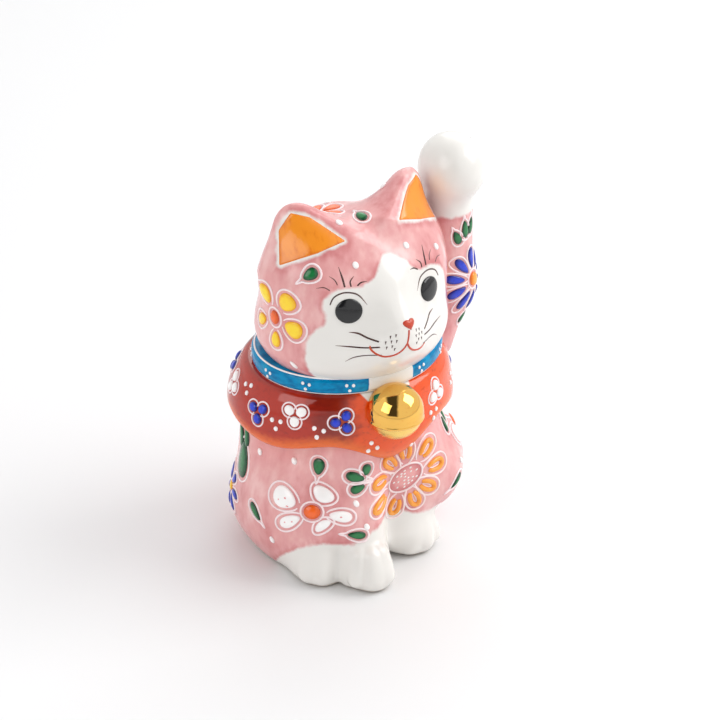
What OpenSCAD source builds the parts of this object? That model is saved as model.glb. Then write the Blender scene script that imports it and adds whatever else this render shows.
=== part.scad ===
// Beckoning cat figurine in overglaze-enamelled porcelain.
// The cat sits on the XY plane, faces -Y and raises its left paw, which is on the +X side.
// The origin is the middle of the base, and the vent hole is behind it. Every rounded body is one smooth blend of ellipsoids
// and tapered rods, and the enamel is laid on that same surface.

/* [Head] */
// Width of the head across the cheeks
head_w = 45.6; // [44:0.2:47]
// Depth of the head from brow to nape
head_d = 41; // [39:0.2:42]
// Height of the head without the ears
head_h = 39; // [37:0.5:40]
// Length of an ear above its root
ear_h = 14.5; // [12:0.5:16]
// Outward lean of an ear, in degrees
ear_lean = 24; // [15:1:28]

/* [Body] */
// Width of the torso
torso_w = 51; // [48:0.5:53]
// Depth of the torso
torso_d = 44; // [42:0.5:46]
// Height at which the neck of the body casting ends
neck_z = 54; // [53.5:0.1:54.5]
// Thickness of the cast walls
wall = 3; // [2.4:0.1:3.6]
// Diameter of the vent hole in the base
vent_d = 9; // [6:0.5:12]

/* [Raised paw] */
// Height of the middle of the paw
paw_z = 94.7; // [92:0.1:97]
// Radius of the fore leg at the wrist
wrist_r = 6.3; // [5.8:0.1:6.8]

/* [Bib, collar and bell] */
// Width of the bib
bib_w = 57.6; // [56:0.2:60]
// Height of the collar band
collar_h = 4.4; // [3.6:0.1:5]
// Diameter of the bell
bell_d = 14; // [12:0.5:15]

/* [Enamel] */
// Height of raised enamel above the glaze
relief = 0.6; // [0.4:0.05:0.8]
// Width of a trailed line
line_w = 0.7; // [0.5:0.05:0.9]
// Diameter of a trailed dot
dot_d = 1.7; // [1.2:0.1:2]
// Reach of the petals of the belly daisy
daisy_r = 9; // [7.5:0.25:9.5]
// Reach of the petals of the cheek flower
cheek_flower_r = 6; // [5:0.25:6.5]

/* [Fineness] */
// Number of points round each casting
around = 64; // [48:8:72]

/* [Hidden] */

white = "#f4f2ee";
pink = "#e8a9ab";
red = "#b8301c";
turquoise = "#2f9fcb";
gold = "#e0b03a";
orange = "#f08a2c";
yellow = "#f6cf2e";
green = "#1f7a45";
blue = "#2340b0";
black = "#1b1b1f";
brown = "#5a2a20";

head_c = [0, -3.8, 68];
body_axis = [0, 2, 0];
vent_axis = [0, 10, 0];
arm_axis = [28.8, -1, 0];
bell_c = [-1.2, -25.5, 46.8];
collar_z = neck_z - 2.8;
sunk = 0.15;

// ---- Blends, rods and ellipsoids: each returns a distance, below zero inside ----

function smin(a, b, k) = let(h = max(k - abs(a - b), 0) / k) min(a, b) - h * h * k / 4;
function smax(a, b, k) = -smin(-a, -b, k);
function over(a, b) = [a.x / b.x, a.y / b.y, a.z / b.z];
function egg(p, c, r) =
    let(q = over(p - c, r), k0 = norm(q), k1 = norm(over(q, r)))
    k0 * (k0 - 1) / max(k1, 0.000001);
function rod(p, a, b, ra, rb) =
    let(d = b - a, t = min(1, max(0, ((p - a) * d) / (d * d))))
    norm(p - a - t * d) - ra - (rb - ra) * t;

// A point turned about Z, then Y, then X, into the frame of an ear
function unturn_z(p, a) = [p.x * cos(a) + p.y * sin(a), p.y * cos(a) - p.x * sin(a), p.z];
function unturn_y(p, a) = [p.x * cos(a) - p.z * sin(a), p.y, p.z * cos(a) + p.x * sin(a)];
function unturn_x(p, a) = [p.x, p.y * cos(a) + p.z * sin(a), p.z * cos(a) - p.y * sin(a)];

function ear(p, side) =
    let(root = side < 0 ? [-13.8, -7.4, 84.8] : [12.4, -7.4, 86.6],
        q = unturn_x(unturn_y(unturn_z(p - root, side * 30), side * ear_lean), -5),
        taper = min(max(1 - q.z / ear_h, 0), 1),
        wide = max(10.4 * taper + 1.6, 2),
        deep = max((q.y < 0 ? 2.4 : 8.8) * taper + 1.4, 1.5),
        k0 = norm([q.x / wide, q.y / deep]),
        k1 = norm([q.x / wide / wide, q.y / deep / deep]),
        d = k0 * (k0 - 1) / max(k1, 0.000001))
    smax(smax(d, q.z - ear_h + 1.8, 3.5), -q.z - 2.5, 4);

function brow(p, side) = egg(p, head_c + [side * 12.5, -1.5, 9.5], [9.5, 10.5, 9]);

head_field = function(p)
    let(skull = egg(p, head_c, [head_w, head_d, head_h] / 2),
        cheeks = egg(p, head_c + [0, 0.6, -7], [head_w / 2 + 0.5, head_d / 2 + 0.6, 11.5]),
        muzzle = egg(p, head_c + [0, -17, -2.5], [8.6, 7.5, 6]),
        bridge = rod(p, head_c + [0, -15, 8], head_c + [0, -21.5, 2], 3.5, 2.4),
        face = smin(smin(smin(skull, cheeks, 6), muzzle, 5), bridge, 6),
        forehead = smin(face, egg(p, head_c + [0, -4.5, 9], [15, 11, 11]), 6),
        crown = smin(forehead, egg(p, [0, 3.5, 76], [14, 13, 12]), 6),
        brows = smin(smin(crown, brow(p, -1), 8), brow(p, 1), 8))
    smin(smin(brows, ear(p, -1), 7), ear(p, 1), 7);

// The right haunch sits lower than the left one, and its foot stands further out
function right_haunch(p) =
    smin(egg(p, [-14.5, -3, 15], [14, 20, 20]), egg(p, [-15.5, -15.5, 3.5], [8, 8.5, 8]), 3);
function left_haunch(p) =
    smin(egg(p, [14.5, -3, 20], [14, 20, 15.2]), egg(p, [9.5, -14.5, 3.5], [7, 8, 8]), 3);

torso_field = function(p)
    let(trunk = egg(p, [0, 3, 28], [torso_w / 2, torso_d / 2, 33]),
        shoulders = egg(p, [0, 2, 42], [24, 19, 14]),
        seat = egg(p, [0, 6, 9], [27, 22, 14]),
        back = smin(smin(trunk, shoulders, 8), seat, 8),
        sides = smin(smin(back, right_haunch(p), 5), left_haunch(p), 5),
        leg = smin(rod(p, [-8, -16, 34], [-7.4, -20.8, 8], 7, 5.8),
                   egg(p, [-8.2, -23.5, 4], [6, 8.5, 8]), 3))
    smin(smin(sides, leg, 6), rod(p, [8, -14, 30], [6, -17, 8], 8, 5), 6);

arm_field = function(p)
    let(upper = rod(p, [23.6, 0, 45], [28.6, 0, 63], 6.2, 7.3),
        fore = rod(p, [28.6, 0, 63], [29, -0.5, paw_z - 4.7], 7.3, wrist_r),
        paw = egg(p, [29, -2.5, paw_z], [8, 9, 8.5]))
    smin(smin(upper, fore, 4), paw, 3);

function bib_hem(a) = 36.6 - 1.2 * cos(5 * a) - 4.3 * pow(max(cos(a), 0), 12);

bib_field = function(p)
    let(drape = egg(p, [-0.6, 1, 39.5], [bib_w / 2, 26, 21]),
        shell = smin(drape, egg(p, [0, -1.6, 47.5], [24.8, 21.4, 7]), 4),
        hem = bib_hem(atan2(p.x, -p.y)) - p.z)
    smax(smax(shell, p.z - collar_z, 1), hem, 3);

collar_field = function(p) (norm([p.x / 24.2, (p.y + 1.4) / 21.2]) - 1) * 21;

// What the raised arm may not enter: the head, the bib and the body
arm_keep_out = function(p) min(head_field(p), bib_field(p), torso_field(p)) - 0.05;

// ---- Finding the surface ----

// Distance from o along d, starting t away and stepping inwards to the first skin
function skin(f, o, d, t, n = 22) = n == 0 ? t : skin(f, o, d, t - 0.9 * f(o + d * t), n - 1);
// Distance from o outwards to where the arm ends or meets its neighbours
function arm_reach(o, d, t = 0, n = 26) =
    n == 0 ? t
    : let(p = o + d * t, f = max(arm_field(p), -arm_keep_out(p)))
      arm_reach(o, d, t - 0.8 * f, n - 1);
// A point moved along n until it lies on the skin
function drop(f, p, n, k = 6) = k == 0 ? p : drop(f, p - n * f(p), n, k - 1);
function slope(f, p) =
    let(e = 0.05,
        g = [f(p + [e, 0, 0]) - f(p - [e, 0, 0]),
             f(p + [0, e, 0]) - f(p - [0, e, 0]),
             f(p + [0, 0, e]) - f(p - [0, 0, e])])
    g / norm(g);
function unit(v) = v / norm(v);

// A place on a surface: [point, normal, sideways, up, field]
function place(f, p) =
    let(n = slope(f, p), s = unit([-n.y, n.x, 0])) [p, n, s, cross(n, s), f];
function out_dir(a) = [sin(a), -cos(a), 0];
// By azimuth from the front, towards the cat's left, and height
function round_at(f, axis, a, z) =
    let(o = [axis.x, axis.y, z], d = out_dir(a)) place(f, o + d * skin(f, o, d, 40));
function on_body(a, z) = round_at(torso_field, body_axis, a, z);
function on_bib(a, z) = round_at(bib_field, body_axis, a, z);
function on_arm(a, z) = round_at(arm_field, arm_axis, a, z);
function on_collar(a, z) = round_at(collar_field, body_axis, a, z);
// By longitude from the front, towards the cat's left, and latitude
function head_dir(lon, lat) = [sin(lon) * cos(lat), -cos(lon) * cos(lat), sin(lat)];
function on_head(lon, lat) =
    let(d = head_dir(lon, lat)) place(head_field, head_c + d * skin(head_field, head_c, d, 50));
// A place shifted by u sideways and v up along the surface
function shift(at, u, v) = place(at[4], drop(at[4], at[0] + at[2] * u + at[3] * v, at[1]));
function polar(at, r, a) = shift(at, r * cos(a), r * sin(a));

// ---- Solids from rings of points ----

function strip(a, b, n) =
    [for (i = [0:n - 1]) let(j = (i + 1) % n) each [[a + i, b + i, b + j], [a + i, b + j, a + j]]];
function fan(base, tip, n, up) =
    [for (i = [0:n - 1]) let(j = (i + 1) % n) up ? [base + i, tip, base + j] : [base + j, tip, base + i]];

// A solid from rings that run from its bottom to its top, closed by one point at each end
module capped(rings, low, high) {
    n = len(rings[0]);
    m = len(rings);
    points = [for (r = rings) each r, low, high];
    faces = [for (k = [0:m - 2]) each strip(k * n, (k + 1) * n, n),
             each fan(0, m * n, n, false),
             each fan((m - 1) * n, m * n + 1, n, true)];
    polyhedron(points, faces, convexity = 6);
}

// A solid from rings whose last joins its first: a hollow thing with a hole right through
module looped(rings) {
    n = len(rings[0]);
    m = len(rings);
    points = [for (r = rings) each r];
    faces = [for (k = [0:m - 1]) each strip(k * n, ((k + 1) % m) * n, n)];
    polyhedron(points, faces, convexity = 8);
}

function ring(axis, z, n, radius) =
    [for (i = [0:n - 1]) let(a = -360 * i / n) [axis.x, axis.y, z] + out_dir(a) * radius(a)];
function torso_r(a, z) = skin(torso_field, [body_axis.x, body_axis.y, z], out_dir(a), 42);

// ---- Castings ----

// The outer skin from the foot ring to the neck: [height, how far the ring is drawn in]
foot_steps = [[0, 1.6], [0.4, 0.7], [1.1, 0.2], [2.2, 0]];
foot_cut_z = 1.5;
skin_steps = [for (z = [3.8:2.8:52]) z];
// The hollow, from the neck down to the floor: [height, the most that its radius may be]
neck_hole_r = 11.4;
hollow_steps = [[neck_z, neck_hole_r], for (z = [48:-7:6]) [z, 24], [wall, 18]];

module body_casting() {
    color(pink) looped([
        ring(vent_axis, wall, around, function(a) vent_d / 2),
        ring(vent_axis, 0, around, function(a) vent_d / 2),
        for (s = foot_steps) ring(body_axis, s[0], around, function(a) torso_r(a, foot_cut_z) - s[1]),
        for (z = skin_steps) ring(body_axis, z, around, function(a) torso_r(a, z)),
        ring(body_axis, neck_z, around, function(a) torso_r(a, neck_z)),
        for (h = hollow_steps) ring(body_axis, h[0], around, function(a)
            min(torso_r(a, h[0]) - wall * 1.15, h[1]))
    ]);
}

// How far the casting reaches from its middle, cut level at the neck
function head_reach(lon, lat) =
    let(d = head_dir(lon, lat), r = skin(head_field, head_c, d, 44))
    lat < 0 ? min(r, (neck_z - head_c.z) / d.z) : r;
function head_ring(lat, n, reach) =
    [for (i = [0:n - 1]) let(a = -360 * i / n) head_c + head_dir(a, lat) * reach(a)];
head_wall = wall + 1.4;
hollow_r = [head_w / 2 - head_wall, head_d / 2 - head_wall, head_h / 2 - head_wall];
// The hole in the foot of the head is upright and stands over the neck of the body
foot_hole_r = neck_hole_r + 0.2;
function hole_reach(lon) =
    let(b = head_c.y * out_dir(lon).y) sqrt(b * b - head_c.y * head_c.y + foot_hole_r * foot_hole_r) - b;
function hollow_reach(lon, lat) =
    let(r = 1 / norm(over(head_dir(lon, lat), hollow_r)))
    lat < 0 ? max(r, hole_reach(lon) / cos(lat)) : r;
// How far the hollow reaches from the head's axis, level with the cut
function foot_reach(lon) =
    let(d = out_dir(lon), drop = (neck_z - head_c.z) / hollow_r.z)
    max(hole_reach(lon), sqrt(1 - drop * drop) / norm([d.x / hollow_r.x, d.y / hollow_r.y]));
foot_mouth = [for (i = [0:around - 1]) let(a = -360 * i / around)
    [head_c.x, head_c.y, neck_z] + out_dir(a) * foot_reach(a)];

// The neck opening is where the hollow runs out through the level cut
module head_casting() {
    n = around;
    lats = [for (l = [-42:5:28]) l, for (l = [32:3.2:74]) l, 78, 84];
    in_lats = [for (l = [-38:14:74]) l];
    outer = [for (l = lats) head_ring(l, n, function(a) head_reach(a, l))];
    inner = [foot_mouth, for (l = in_lats) head_ring(l, n, function(a) hollow_reach(a, l))];
    m = len(outer);
    k = len(inner);
    top = head_c + [0, 0, head_reach(0, 90)];
    roof = head_c + [0, 0, hollow_r.z];
    points = [for (r = outer) each r, for (r = inner) each r, top, roof];
    tip = (m + k) * n;
    faces = [for (i = [0:m - 2]) each strip(i * n, (i + 1) * n, n),
             each fan((m - 1) * n, tip, n, true),
             for (i = [0:k - 2]) each strip((m + i + 1) * n, (m + i) * n, n),
             each fan((m + k - 1) * n, tip + 1, n, false),
             each strip(m * n, 0, n)];
    color(pink) polyhedron(points, faces, convexity = 8);
}

// The fore leg is lofted in level rings about an axis that stays clear of the bib and the head
arm_low_z = 45.2;
arm_top_z = paw_z + 8.45;
function arm_middle(z) = [z < neck_z ? 28.2 + (z - arm_low_z) * 0.1 : 29.1, -1, z];
module raised_arm() {
    n = 30;
    zs = [for (z = [arm_low_z + 0.6:2.2:arm_top_z - 4.2]) z, for (s = [2.6, 1.2, 0.5]) arm_top_z - s];
    color(white) capped(
        [for (z = zs) let(o = arm_middle(z))
            [for (i = [0:n - 1]) let(d = out_dir(-360 * i / n)) o + d * arm_reach(o, d)]],
        arm_middle(arm_low_z), arm_middle(arm_top_z) - [0, 1.3, 0]);
}

module tail() {
    color(white) pad(on_body(174, 10), 9, 12, 5, tilt = 10, n = 20);
}

// A ring about the body whose height also changes round it: height(a) and radius(a, z)
function wavy_ring(height, radius) =
    [for (i = [0:around - 1]) let(a = -360 * i / around, z = height(a))
        [body_axis.x, body_axis.y, z] + out_dir(a) * radius(a, z)];
bib_r = function(a, z)
    max(skin(bib_field, [body_axis.x, body_axis.y, z], out_dir(a), 42), torso_r(a, z) + 0.4);
bib_seat = function(a, z) torso_r(a, z) + 0.02;

// The bib is a shell on the shoulders, from its waved hem up to the collar
module bib() {
    hem = function(lift) function(a) bib_hem(a) + lift;
    rise = function(lift, drop, t) function(a)
        bib_hem(a) + lift + (collar_z - drop - bib_hem(a) - lift) * t;
    color(red) looped([
        wavy_ring(hem(0.3), bib_seat),
        wavy_ring(hem(0.4), bib_r),
        for (t = [0:0.125:1]) wavy_ring(rise(1.2, 0.2, t), bib_r),
        wavy_ring(function(a) collar_z, function(a, z) torso_r(a, z) + 2),
        for (t = [1:-0.2:0.2]) wavy_ring(rise(0.3, 0, t), bib_seat)
    ]);
}

function collar_r(a) = skin(collar_field, [body_axis.x, body_axis.y, 0], out_dir(a), 40);
function neck_r(a, z) =
    z < neck_z ? torso_r(a, z)
    : skin(head_field, [body_axis.x, body_axis.y, z], out_dir(a), 42);

module collar_band() {
    top = collar_z + collar_h;
    band = function(z, in) ring(body_axis, z, around, function(a) collar_r(a) - in);
    seat = function(z) ring(body_axis, z, around, function(a) neck_r(a, z) + 0.05);
    color(turquoise) looped([
        band(collar_z, 0.6), band(collar_z + 0.6, 0), band(top - 0.6, 0), band(top, 0.6),
        seat(top), seat(neck_z + 0.02), seat(neck_z - 0.02), seat(collar_z)
    ]);
}

module collar_edging() {
    for (z = [collar_z + 0.3, collar_z + collar_h - 0.3])
        color(white) trail([for (i = [0:35]) on_collar(-10 * i, z)], 0.5, true);
}

// The bell is a round boss: a ball with a seam below its middle, its back cut flat on the bib
module bell() {
    lean = 24.6;
    behind = 1.7;
    color(gold) difference() {
        translate(bell_c) rotate_extrude($fn = 64) intersection() {
            union() {
                circle(d = bell_d, $fn = 64);
                translate([bell_d / 2 - 1, -1.9]) square([1.25, 0.7]);
            }
            translate([0, -bell_d]) square([bell_d, 2 * bell_d]);
        }
        translate(bell_c) rotate([-lean, 0, 0]) translate([0, 50 + behind, 0]) cube(100, center = true);
    }
}

// ---- Enamel ----

// A domed pad on a surface, w and h across, its long side turned by tilt; point > 0 tapers it
function pad_rim(w, h, tilt, point, s, t) =
    let(x = w / 2 * cos(t) * (1 - point * sin(t)), y = h / 2 * sin(t))
    s * [x * cos(tilt) - y * sin(tilt), x * sin(tilt) + y * cos(tilt)];
function laid(at, uv) = drop(at[4], at[0] + at[2] * uv[0] + at[3] * uv[1], at[1]);

module pad(at, w, h, high, tilt = 0, point = 0, n = 12) {
    ring_at = function(s, lift) [for (i = [0:n - 1])
        laid(at, pad_rim(w, h, tilt, point, s, 360 * i / n)) + at[1] * lift];
    capped([ring_at(1, -sunk), ring_at(0.97, high * 0.45), ring_at(0.62, high * 0.88)],
           at[0] - at[1] * sunk, at[0] + at[1] * high);
}

// A trailed line of four sides along places on a surface
module trail(ats, w, closed = false) {
    m = len(ats);
    ring_at = function(k)
        let(a = ats[closed ? (k + m - 1) % m : max(k - 1, 0)][0],
            b = ats[closed ? (k + 1) % m : min(k + 1, m - 1)][0],
            p = ats[k][0], n = ats[k][1], side = unit(cross(n, b - a)))
        [p - side * w / 2 - n * sunk, p - side * w / 4 + n * w * 0.5,
         p + side * w / 4 + n * w * 0.5, p + side * w / 2 - n * sunk];
    if (closed) looped([for (k = [0:m - 1]) ring_at(k)]);
    else {
        points = [for (k = [0:m - 1]) each ring_at(k)];
        last = (m - 1) * 4;
        faces = [for (k = [0:m - 2]) each strip(k * 4, k * 4 + 4, 4),
                 [0, 1, 2], [0, 2, 3], [last, last + 2, last + 1], [last, last + 3, last + 2]];
        polyhedron(points, faces, convexity = 4);
    }
}

// A dot of enamel: a low cap turned to stand on the surface
module dot(at, d = dot_d) {
    n = at[1];
    translate(at[0] - n * d * 0.16)
        rotate([0, acos(n.z), atan2(n.y, n.x)])
            rotate_extrude($fn = 20)
                polygon([[0, 0], [0.5, 0], [0.5, 0.12], [0.36, 0.34], [0, 0.42]] * d);
}

// Petals in a circle: each is [angle, reach of its middle, width, length]
function even_petals(n, phase, reach, w, l) = [for (i = [0:n - 1]) [phase + 360 * i / n, reach, w, l]];
module petals(at, list, point = 0.25) {
    for (p = list)
        pad(polar(at, p[1], p[0]), p[2], p[3], relief, tilt = p[0] - 90, point = -point, n = 10);
}
module petal_loops(at, list, gap = 0.35, point = 0.25) {
    steps = 8;
    for (p = list) {
        mid = polar(at, p[1], p[0]);
        trail([for (i = [0:steps - 1])
                   let(q = pad_rim(p[2] + 2 * gap, p[3] + 2 * gap, p[0] - 90, -point, 1, 360 / steps * i))
                   shift(mid, q[0], q[1])], line_w, true);
    }
}
// Leaves: each is [place, width, length, tilt]
module leaves(list) {
    for (l = list) pad(l[0], l[1], l[2], relief, tilt = l[3], point = 0.3, n = 10);
}
// A line along a list of [longitude, latitude] on the head
module head_line(path, w) { trail([for (p = path) on_head(p[0], p[1])], w); }

cheek_at = on_head(-81, 4);
cheek_petals = even_petals(5, 54, cheek_flower_r, 4.6, 4.4);
other_cheek_at = on_head(99, 6);
crown_at = on_head(-134, 67);
crown_petals = even_petals(6, 0, 4.4, 2.6, 4.2);
arm_daisy_at = on_arm(36, 65);
arm_daisy = even_petals(10, 18, 5.6, 2.2, 5.6);
haunch_at = on_body(-44, 21.3);
haunch_petals = [[58, 5.2, 4.6, 4.8], [158, 7, 5.6, 5.6], [216, 6, 3, 5.2], [-52, 4.4, 2, 3.4],
                 [-6, 6.8, 2.4, 4.8]];
left_haunch_at = on_body(68, 27.5);
belly_at = on_body(8, 23.5);
belly_petals = even_petals(9, 10, daisy_r - 1.4, 2.8, 5.8);
hip_left_at = on_body(-104, 16);
back_at = on_body(180, 30);

// The wash in the hollow front of an ear: side is -1 on the right, 1 on the left
module ear_wash(side) {
    color(orange) pad(on_head(side * 72, 51), 12, 10.5, 0.3, tilt = side * 22, point = 0.75, n = 18);
}
module ear_wash_right() { ear_wash(-1); }
module ear_wash_left() { ear_wash(1); }
module eye_right() { color(black) pad(on_head(-33, 17), 6.4, 6.2, 0.9, n = 20); }
module eye_left() { color(black) pad(on_head(33, 17), 6.4, 6.2, 0.9, n = 20); }
module eyelid_strokes() {
    for (s = [-1, 1])
        color(brown) head_line([for (t = [0:6]) [s * (47 - 4.6 * t), 21 + 8 * sin(30 * t)]], 0.4);
}
// Five short strokes stand over each eye
module brow_strokes() {
    for (s = [-1, 1], k = [-2:2])
        color(brown) head_line(
            [for (t = [0:3]) [s * (34 + 3 * k + 0.9 * k * t), 33 + 2.6 * t - abs(k)]], 0.35);
}
module nose() { color(red) pad(on_head(1.5, 7), 3.2, 2.8, 0.5, tilt = 180, point = 0.4, n = 16); }
module mouth_line() {
    color(red) {
        head_line([[0.5, 3], [0.3, -0.5], [0, -4]], 0.45);
        head_line([[-20, -4.5], [-16, -9], [-11, -11.4], [-6, -10], [-1, -5.5]], 0.5);
        head_line([[1, -5.5], [5, -11.5], [10, -14], [14, -13]], 0.5);
    }
}
whisker_paths = [[[-27, -2], [-32, -1.2], [-38, -0.2], [-43, 1.4]],
                 [[-26, -5], [-33, -5.6], [-41, -5.4], [-48, -4.6]],
                 [[-26, -8], [-32, -9.4], [-38, -10.4], [-43, -11]],
                 [[27, -2], [32, 0.6], [38, 4], [43, 8]],
                 [[26, -5], [32, -4], [38, -2], [44, 1]],
                 [[26, -8], [32, -8.4], [38, -8], [43, -7]]];
module whiskers() { color(brown) for (w = whisker_paths) head_line(w, 0.35); }
module whisker_pad_dashes() {
    color(brown) for (s = [-1, 1], k = [0:5])
        dot(on_head(s * (8 + 3 * (k % 3)) + 1, -2.5 - 3 * floor(k / 3) - (k % 3) * 0.6), 0.6);
}
module cheek_flower_petals() {
    color(yellow) {
        petals(cheek_at, cheek_petals);
        petals(other_cheek_at, cheek_petals);
    }
}
module cheek_flower_centre() {
    color(orange) {
        pad(cheek_at, 3.6, 3.6, relief * 1.2);
        pad(other_cheek_at, 3.6, 3.6, relief * 1.2);
    }
}
module crown_flower_petals() { color(orange) petals(crown_at, crown_petals); }
module crown_flower_centre() { color(yellow) pad(crown_at, 2.6, 2.6, relief); }
module head_leaves() {
    color(green) leaves([[on_head(-59, 36), 2.2, 3.6, -55], [on_head(-5, 80), 2, 4.4, 75],
                         [on_head(-116, 20), 2.4, 4.6, 20], [on_head(125, 40), 2.4, 4.6, 40],
                         [on_head(-150, 10), 2.4, 4.6, -30], [on_head(160, 6), 2.4, 4.6, 30]]);
}
head_dot_places = [[-28, 45], [27, 49], [53, 35], [-47, 66], [90, 72], [-120, 45], [150, 45],
                   [-165, 28], [110, 28], [180, 60], [-68, -22]];
module head_dots() { color(white) for (p = head_dot_places) dot(on_head(p[0], p[1])); }
module arm_daisy_petals() { color(blue) petals(arm_daisy_at, arm_daisy, -0.35); }
module arm_daisy_centre() { color(yellow) pad(arm_daisy_at, 3.8, 3.8, relief * 1.2); }
module arm_leaves() {
    color(green) leaves([[on_arm(-8, 77.5), 2, 4, 35], [on_arm(16, 79.5), 2, 4.6, 10],
                         [on_arm(40, 79), 2, 4, -25], [on_arm(24, 54.5), 2, 3.6, -40],
                         [on_arm(150, 70), 2.2, 5, 0]]);
}
// A berry is three round drops of enamel
module berries(places) {
    for (p = places, k = [0:2])
        pad(polar(on_bib(p[0], p[1]), 1.75, 90 + p[2] + 120 * k), 2.5, 2.9, relief * 1.1,
            tilt = p[2] + 120 * k, n = 8);
}
module bib_berries_blue() {
    color(blue) berries([[-74, 44.6, 10], [-29, 45.4, -12], [76, 44.6, 0], [165, 44, 10]]);
}
module bib_berries_white() {
    color(white) berries([[-102, 46, 0], [-53, 46.6, 180], [31, 45.6, 0], [120, 45, 180], [-150, 45, 0]]);
}
bib_dot_places = [[-86, 49], [-88, 46], [-64, 43.4], [-61, 42.2], [-62, 45], [-40, 42.6], [-43, 43.6],
                  [-38, 44.8], [-14, 36.6], [-17, 37.6], [-12, 39.4], [11, 34.6], [25, 41], [22, 38],
                  [50, 47], [60, 42], [98, 46], [102, 42], [142, 45], [-124, 46], [-130, 42],
                  [-175, 47]];
module bib_dots() { color(white) for (p = bib_dot_places) dot(on_bib(p[0], p[1]), 1.1); }
collar_dot_places = [for (a = [-164:27:164]) if (abs(a) > 20) a];
module collar_dots() {
    middle = collar_z + collar_h / 2;
    color(white) for (a = collar_dot_places, k = [90:120:330])
        dot(on_collar(a + 1.8 * cos(k), middle + 0.75 * sin(k)), 0.8);
}
module haunch_flower_petals() {
    color(white) {
        petals(haunch_at, haunch_petals);
        petals(left_haunch_at, even_petals(5, 90, 5.6, 4.2, 5));
    }
}
module haunch_flower_centre() {
    color(orange) {
        pad(haunch_at, 4.2, 3.2, relief * 1.2);
        pad(left_haunch_at, 3.6, 3.6, relief * 1.2);
    }
}
module belly_daisy_petals() { color(orange) petals(belly_at, belly_petals); }
module belly_daisy_centre() { color(pink) pad(belly_at, 8.4, 8, relief * 1.2, n = 18); }
module body_leaves() {
    color(green) leaves([[on_body(-41, 31.5), 2.8, 4.4, 0], [on_body(-17, 31.6), 2, 3.8, -30],
                         [on_body(-23, 29.8), 2, 3.8, 60], [on_body(-23, 26.6), 2, 3.4, 100],
                         [on_body(-74, 15.6), 1.9, 5, 40], [on_body(-23, 14.6), 1.6, 3.6, -70],
                         [on_body(39, 18.4), 1.6, 4.6, -35], [on_body(49, 31.5), 1.8, 3.6, -20],
                         [on_body(54, 33), 1.8, 3.6, -10], [on_body(150, 26), 2.6, 5, -35],
                         [on_body(-150, 26), 2.6, 5, 35]]);
}
module side_leaves() {
    color(green) {
        pad(on_body(-98, 27), 5, 12, relief, tilt = -8, point = 0.2, n = 20);
        pad(on_body(98, 27), 5, 12, relief, tilt = 8, point = 0.2, n = 20);
    }
}
module hip_petals() {
    color(blue) {
        petals(hip_left_at, even_petals(6, 0, 4, 2, 4.6), -0.3);
        petals(back_at, even_petals(8, 0, 5.4, 2.2, 5.6), -0.3);
    }
}
body_dot_places = [[-78, 31], [-56, 32], [-23, 23], [-17, 15], [-63, 9.4], [46, 22.5], [-60, 31], [112, 24],
                   [95, 12], [120, 32], [130, 15], [-130, 32], [-125, 10], [-160, 16], [160, 14],
                   [55, 12]];
module body_dots() { color(white) for (p = body_dot_places) dot(on_body(p[0], p[1]), 1.4); }
module petal_outlines() {
    color(white) {
        petal_loops(cheek_at, cheek_petals);
        petal_loops(haunch_at, haunch_petals);
        petal_loops(belly_at, belly_petals, 0.3);
    }
}

body_casting();
head_casting();
raised_arm();
tail();
bib();
collar_band();
collar_edging();
bell();
ear_wash_right();
ear_wash_left();
eye_right();
eye_left();
eyelid_strokes();
brow_strokes();
nose();
mouth_line();
whiskers();
whisker_pad_dashes();
cheek_flower_petals();
cheek_flower_centre();
crown_flower_petals();
crown_flower_centre();
head_leaves();
head_dots();
arm_daisy_petals();
arm_daisy_centre();
arm_leaves();
bib_berries_blue();
bib_berries_white();
bib_dots();
collar_dots();
haunch_flower_petals();
haunch_flower_centre();
belly_daisy_petals();
belly_daisy_centre();
body_leaves();
side_leaves();
hip_petals();
body_dots();
petal_outlines();
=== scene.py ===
"""A porcelain beckoning cat: glazed castings, trailed enamel and a gilded bell, on a plain studio floor.

Sizes in the classes are in millimetres, in the frame's own axes: +Z up, the cat faces -Y and raises
the paw on its +X side. Meshes are written in metres.
"""

import logging
import math
from dataclasses import dataclass, field
from enum import Enum
from functools import cache
from typing import Any, Callable, NamedTuple, Sequence

import bpy
import numpy as np
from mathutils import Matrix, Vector

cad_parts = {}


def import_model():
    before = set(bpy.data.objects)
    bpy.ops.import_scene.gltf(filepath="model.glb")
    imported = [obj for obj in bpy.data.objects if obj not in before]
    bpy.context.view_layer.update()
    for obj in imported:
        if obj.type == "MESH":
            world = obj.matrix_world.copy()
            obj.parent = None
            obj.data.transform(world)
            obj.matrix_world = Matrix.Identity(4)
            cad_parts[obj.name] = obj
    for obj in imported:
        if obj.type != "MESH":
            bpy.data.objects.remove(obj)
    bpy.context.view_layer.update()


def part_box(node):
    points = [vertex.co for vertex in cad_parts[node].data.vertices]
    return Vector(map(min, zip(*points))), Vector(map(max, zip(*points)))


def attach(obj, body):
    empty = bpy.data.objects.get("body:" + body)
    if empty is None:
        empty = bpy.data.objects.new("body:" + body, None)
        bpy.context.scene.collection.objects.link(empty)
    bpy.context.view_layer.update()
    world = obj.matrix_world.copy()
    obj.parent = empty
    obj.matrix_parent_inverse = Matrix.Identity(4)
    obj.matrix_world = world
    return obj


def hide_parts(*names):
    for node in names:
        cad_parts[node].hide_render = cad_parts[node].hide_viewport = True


MM = 0.001
TINY = 1e-9
DROP_SEED = 5
LOG = logging.getLogger("beckoning_cat")
Array = np.ndarray
Field = Callable[[Array], Array]
Point = Sequence[float]
Pairs = Sequence[tuple[float, float]]


# ---- Blends and simple solids: every field is a distance in millimetres, below zero inside ----


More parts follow.
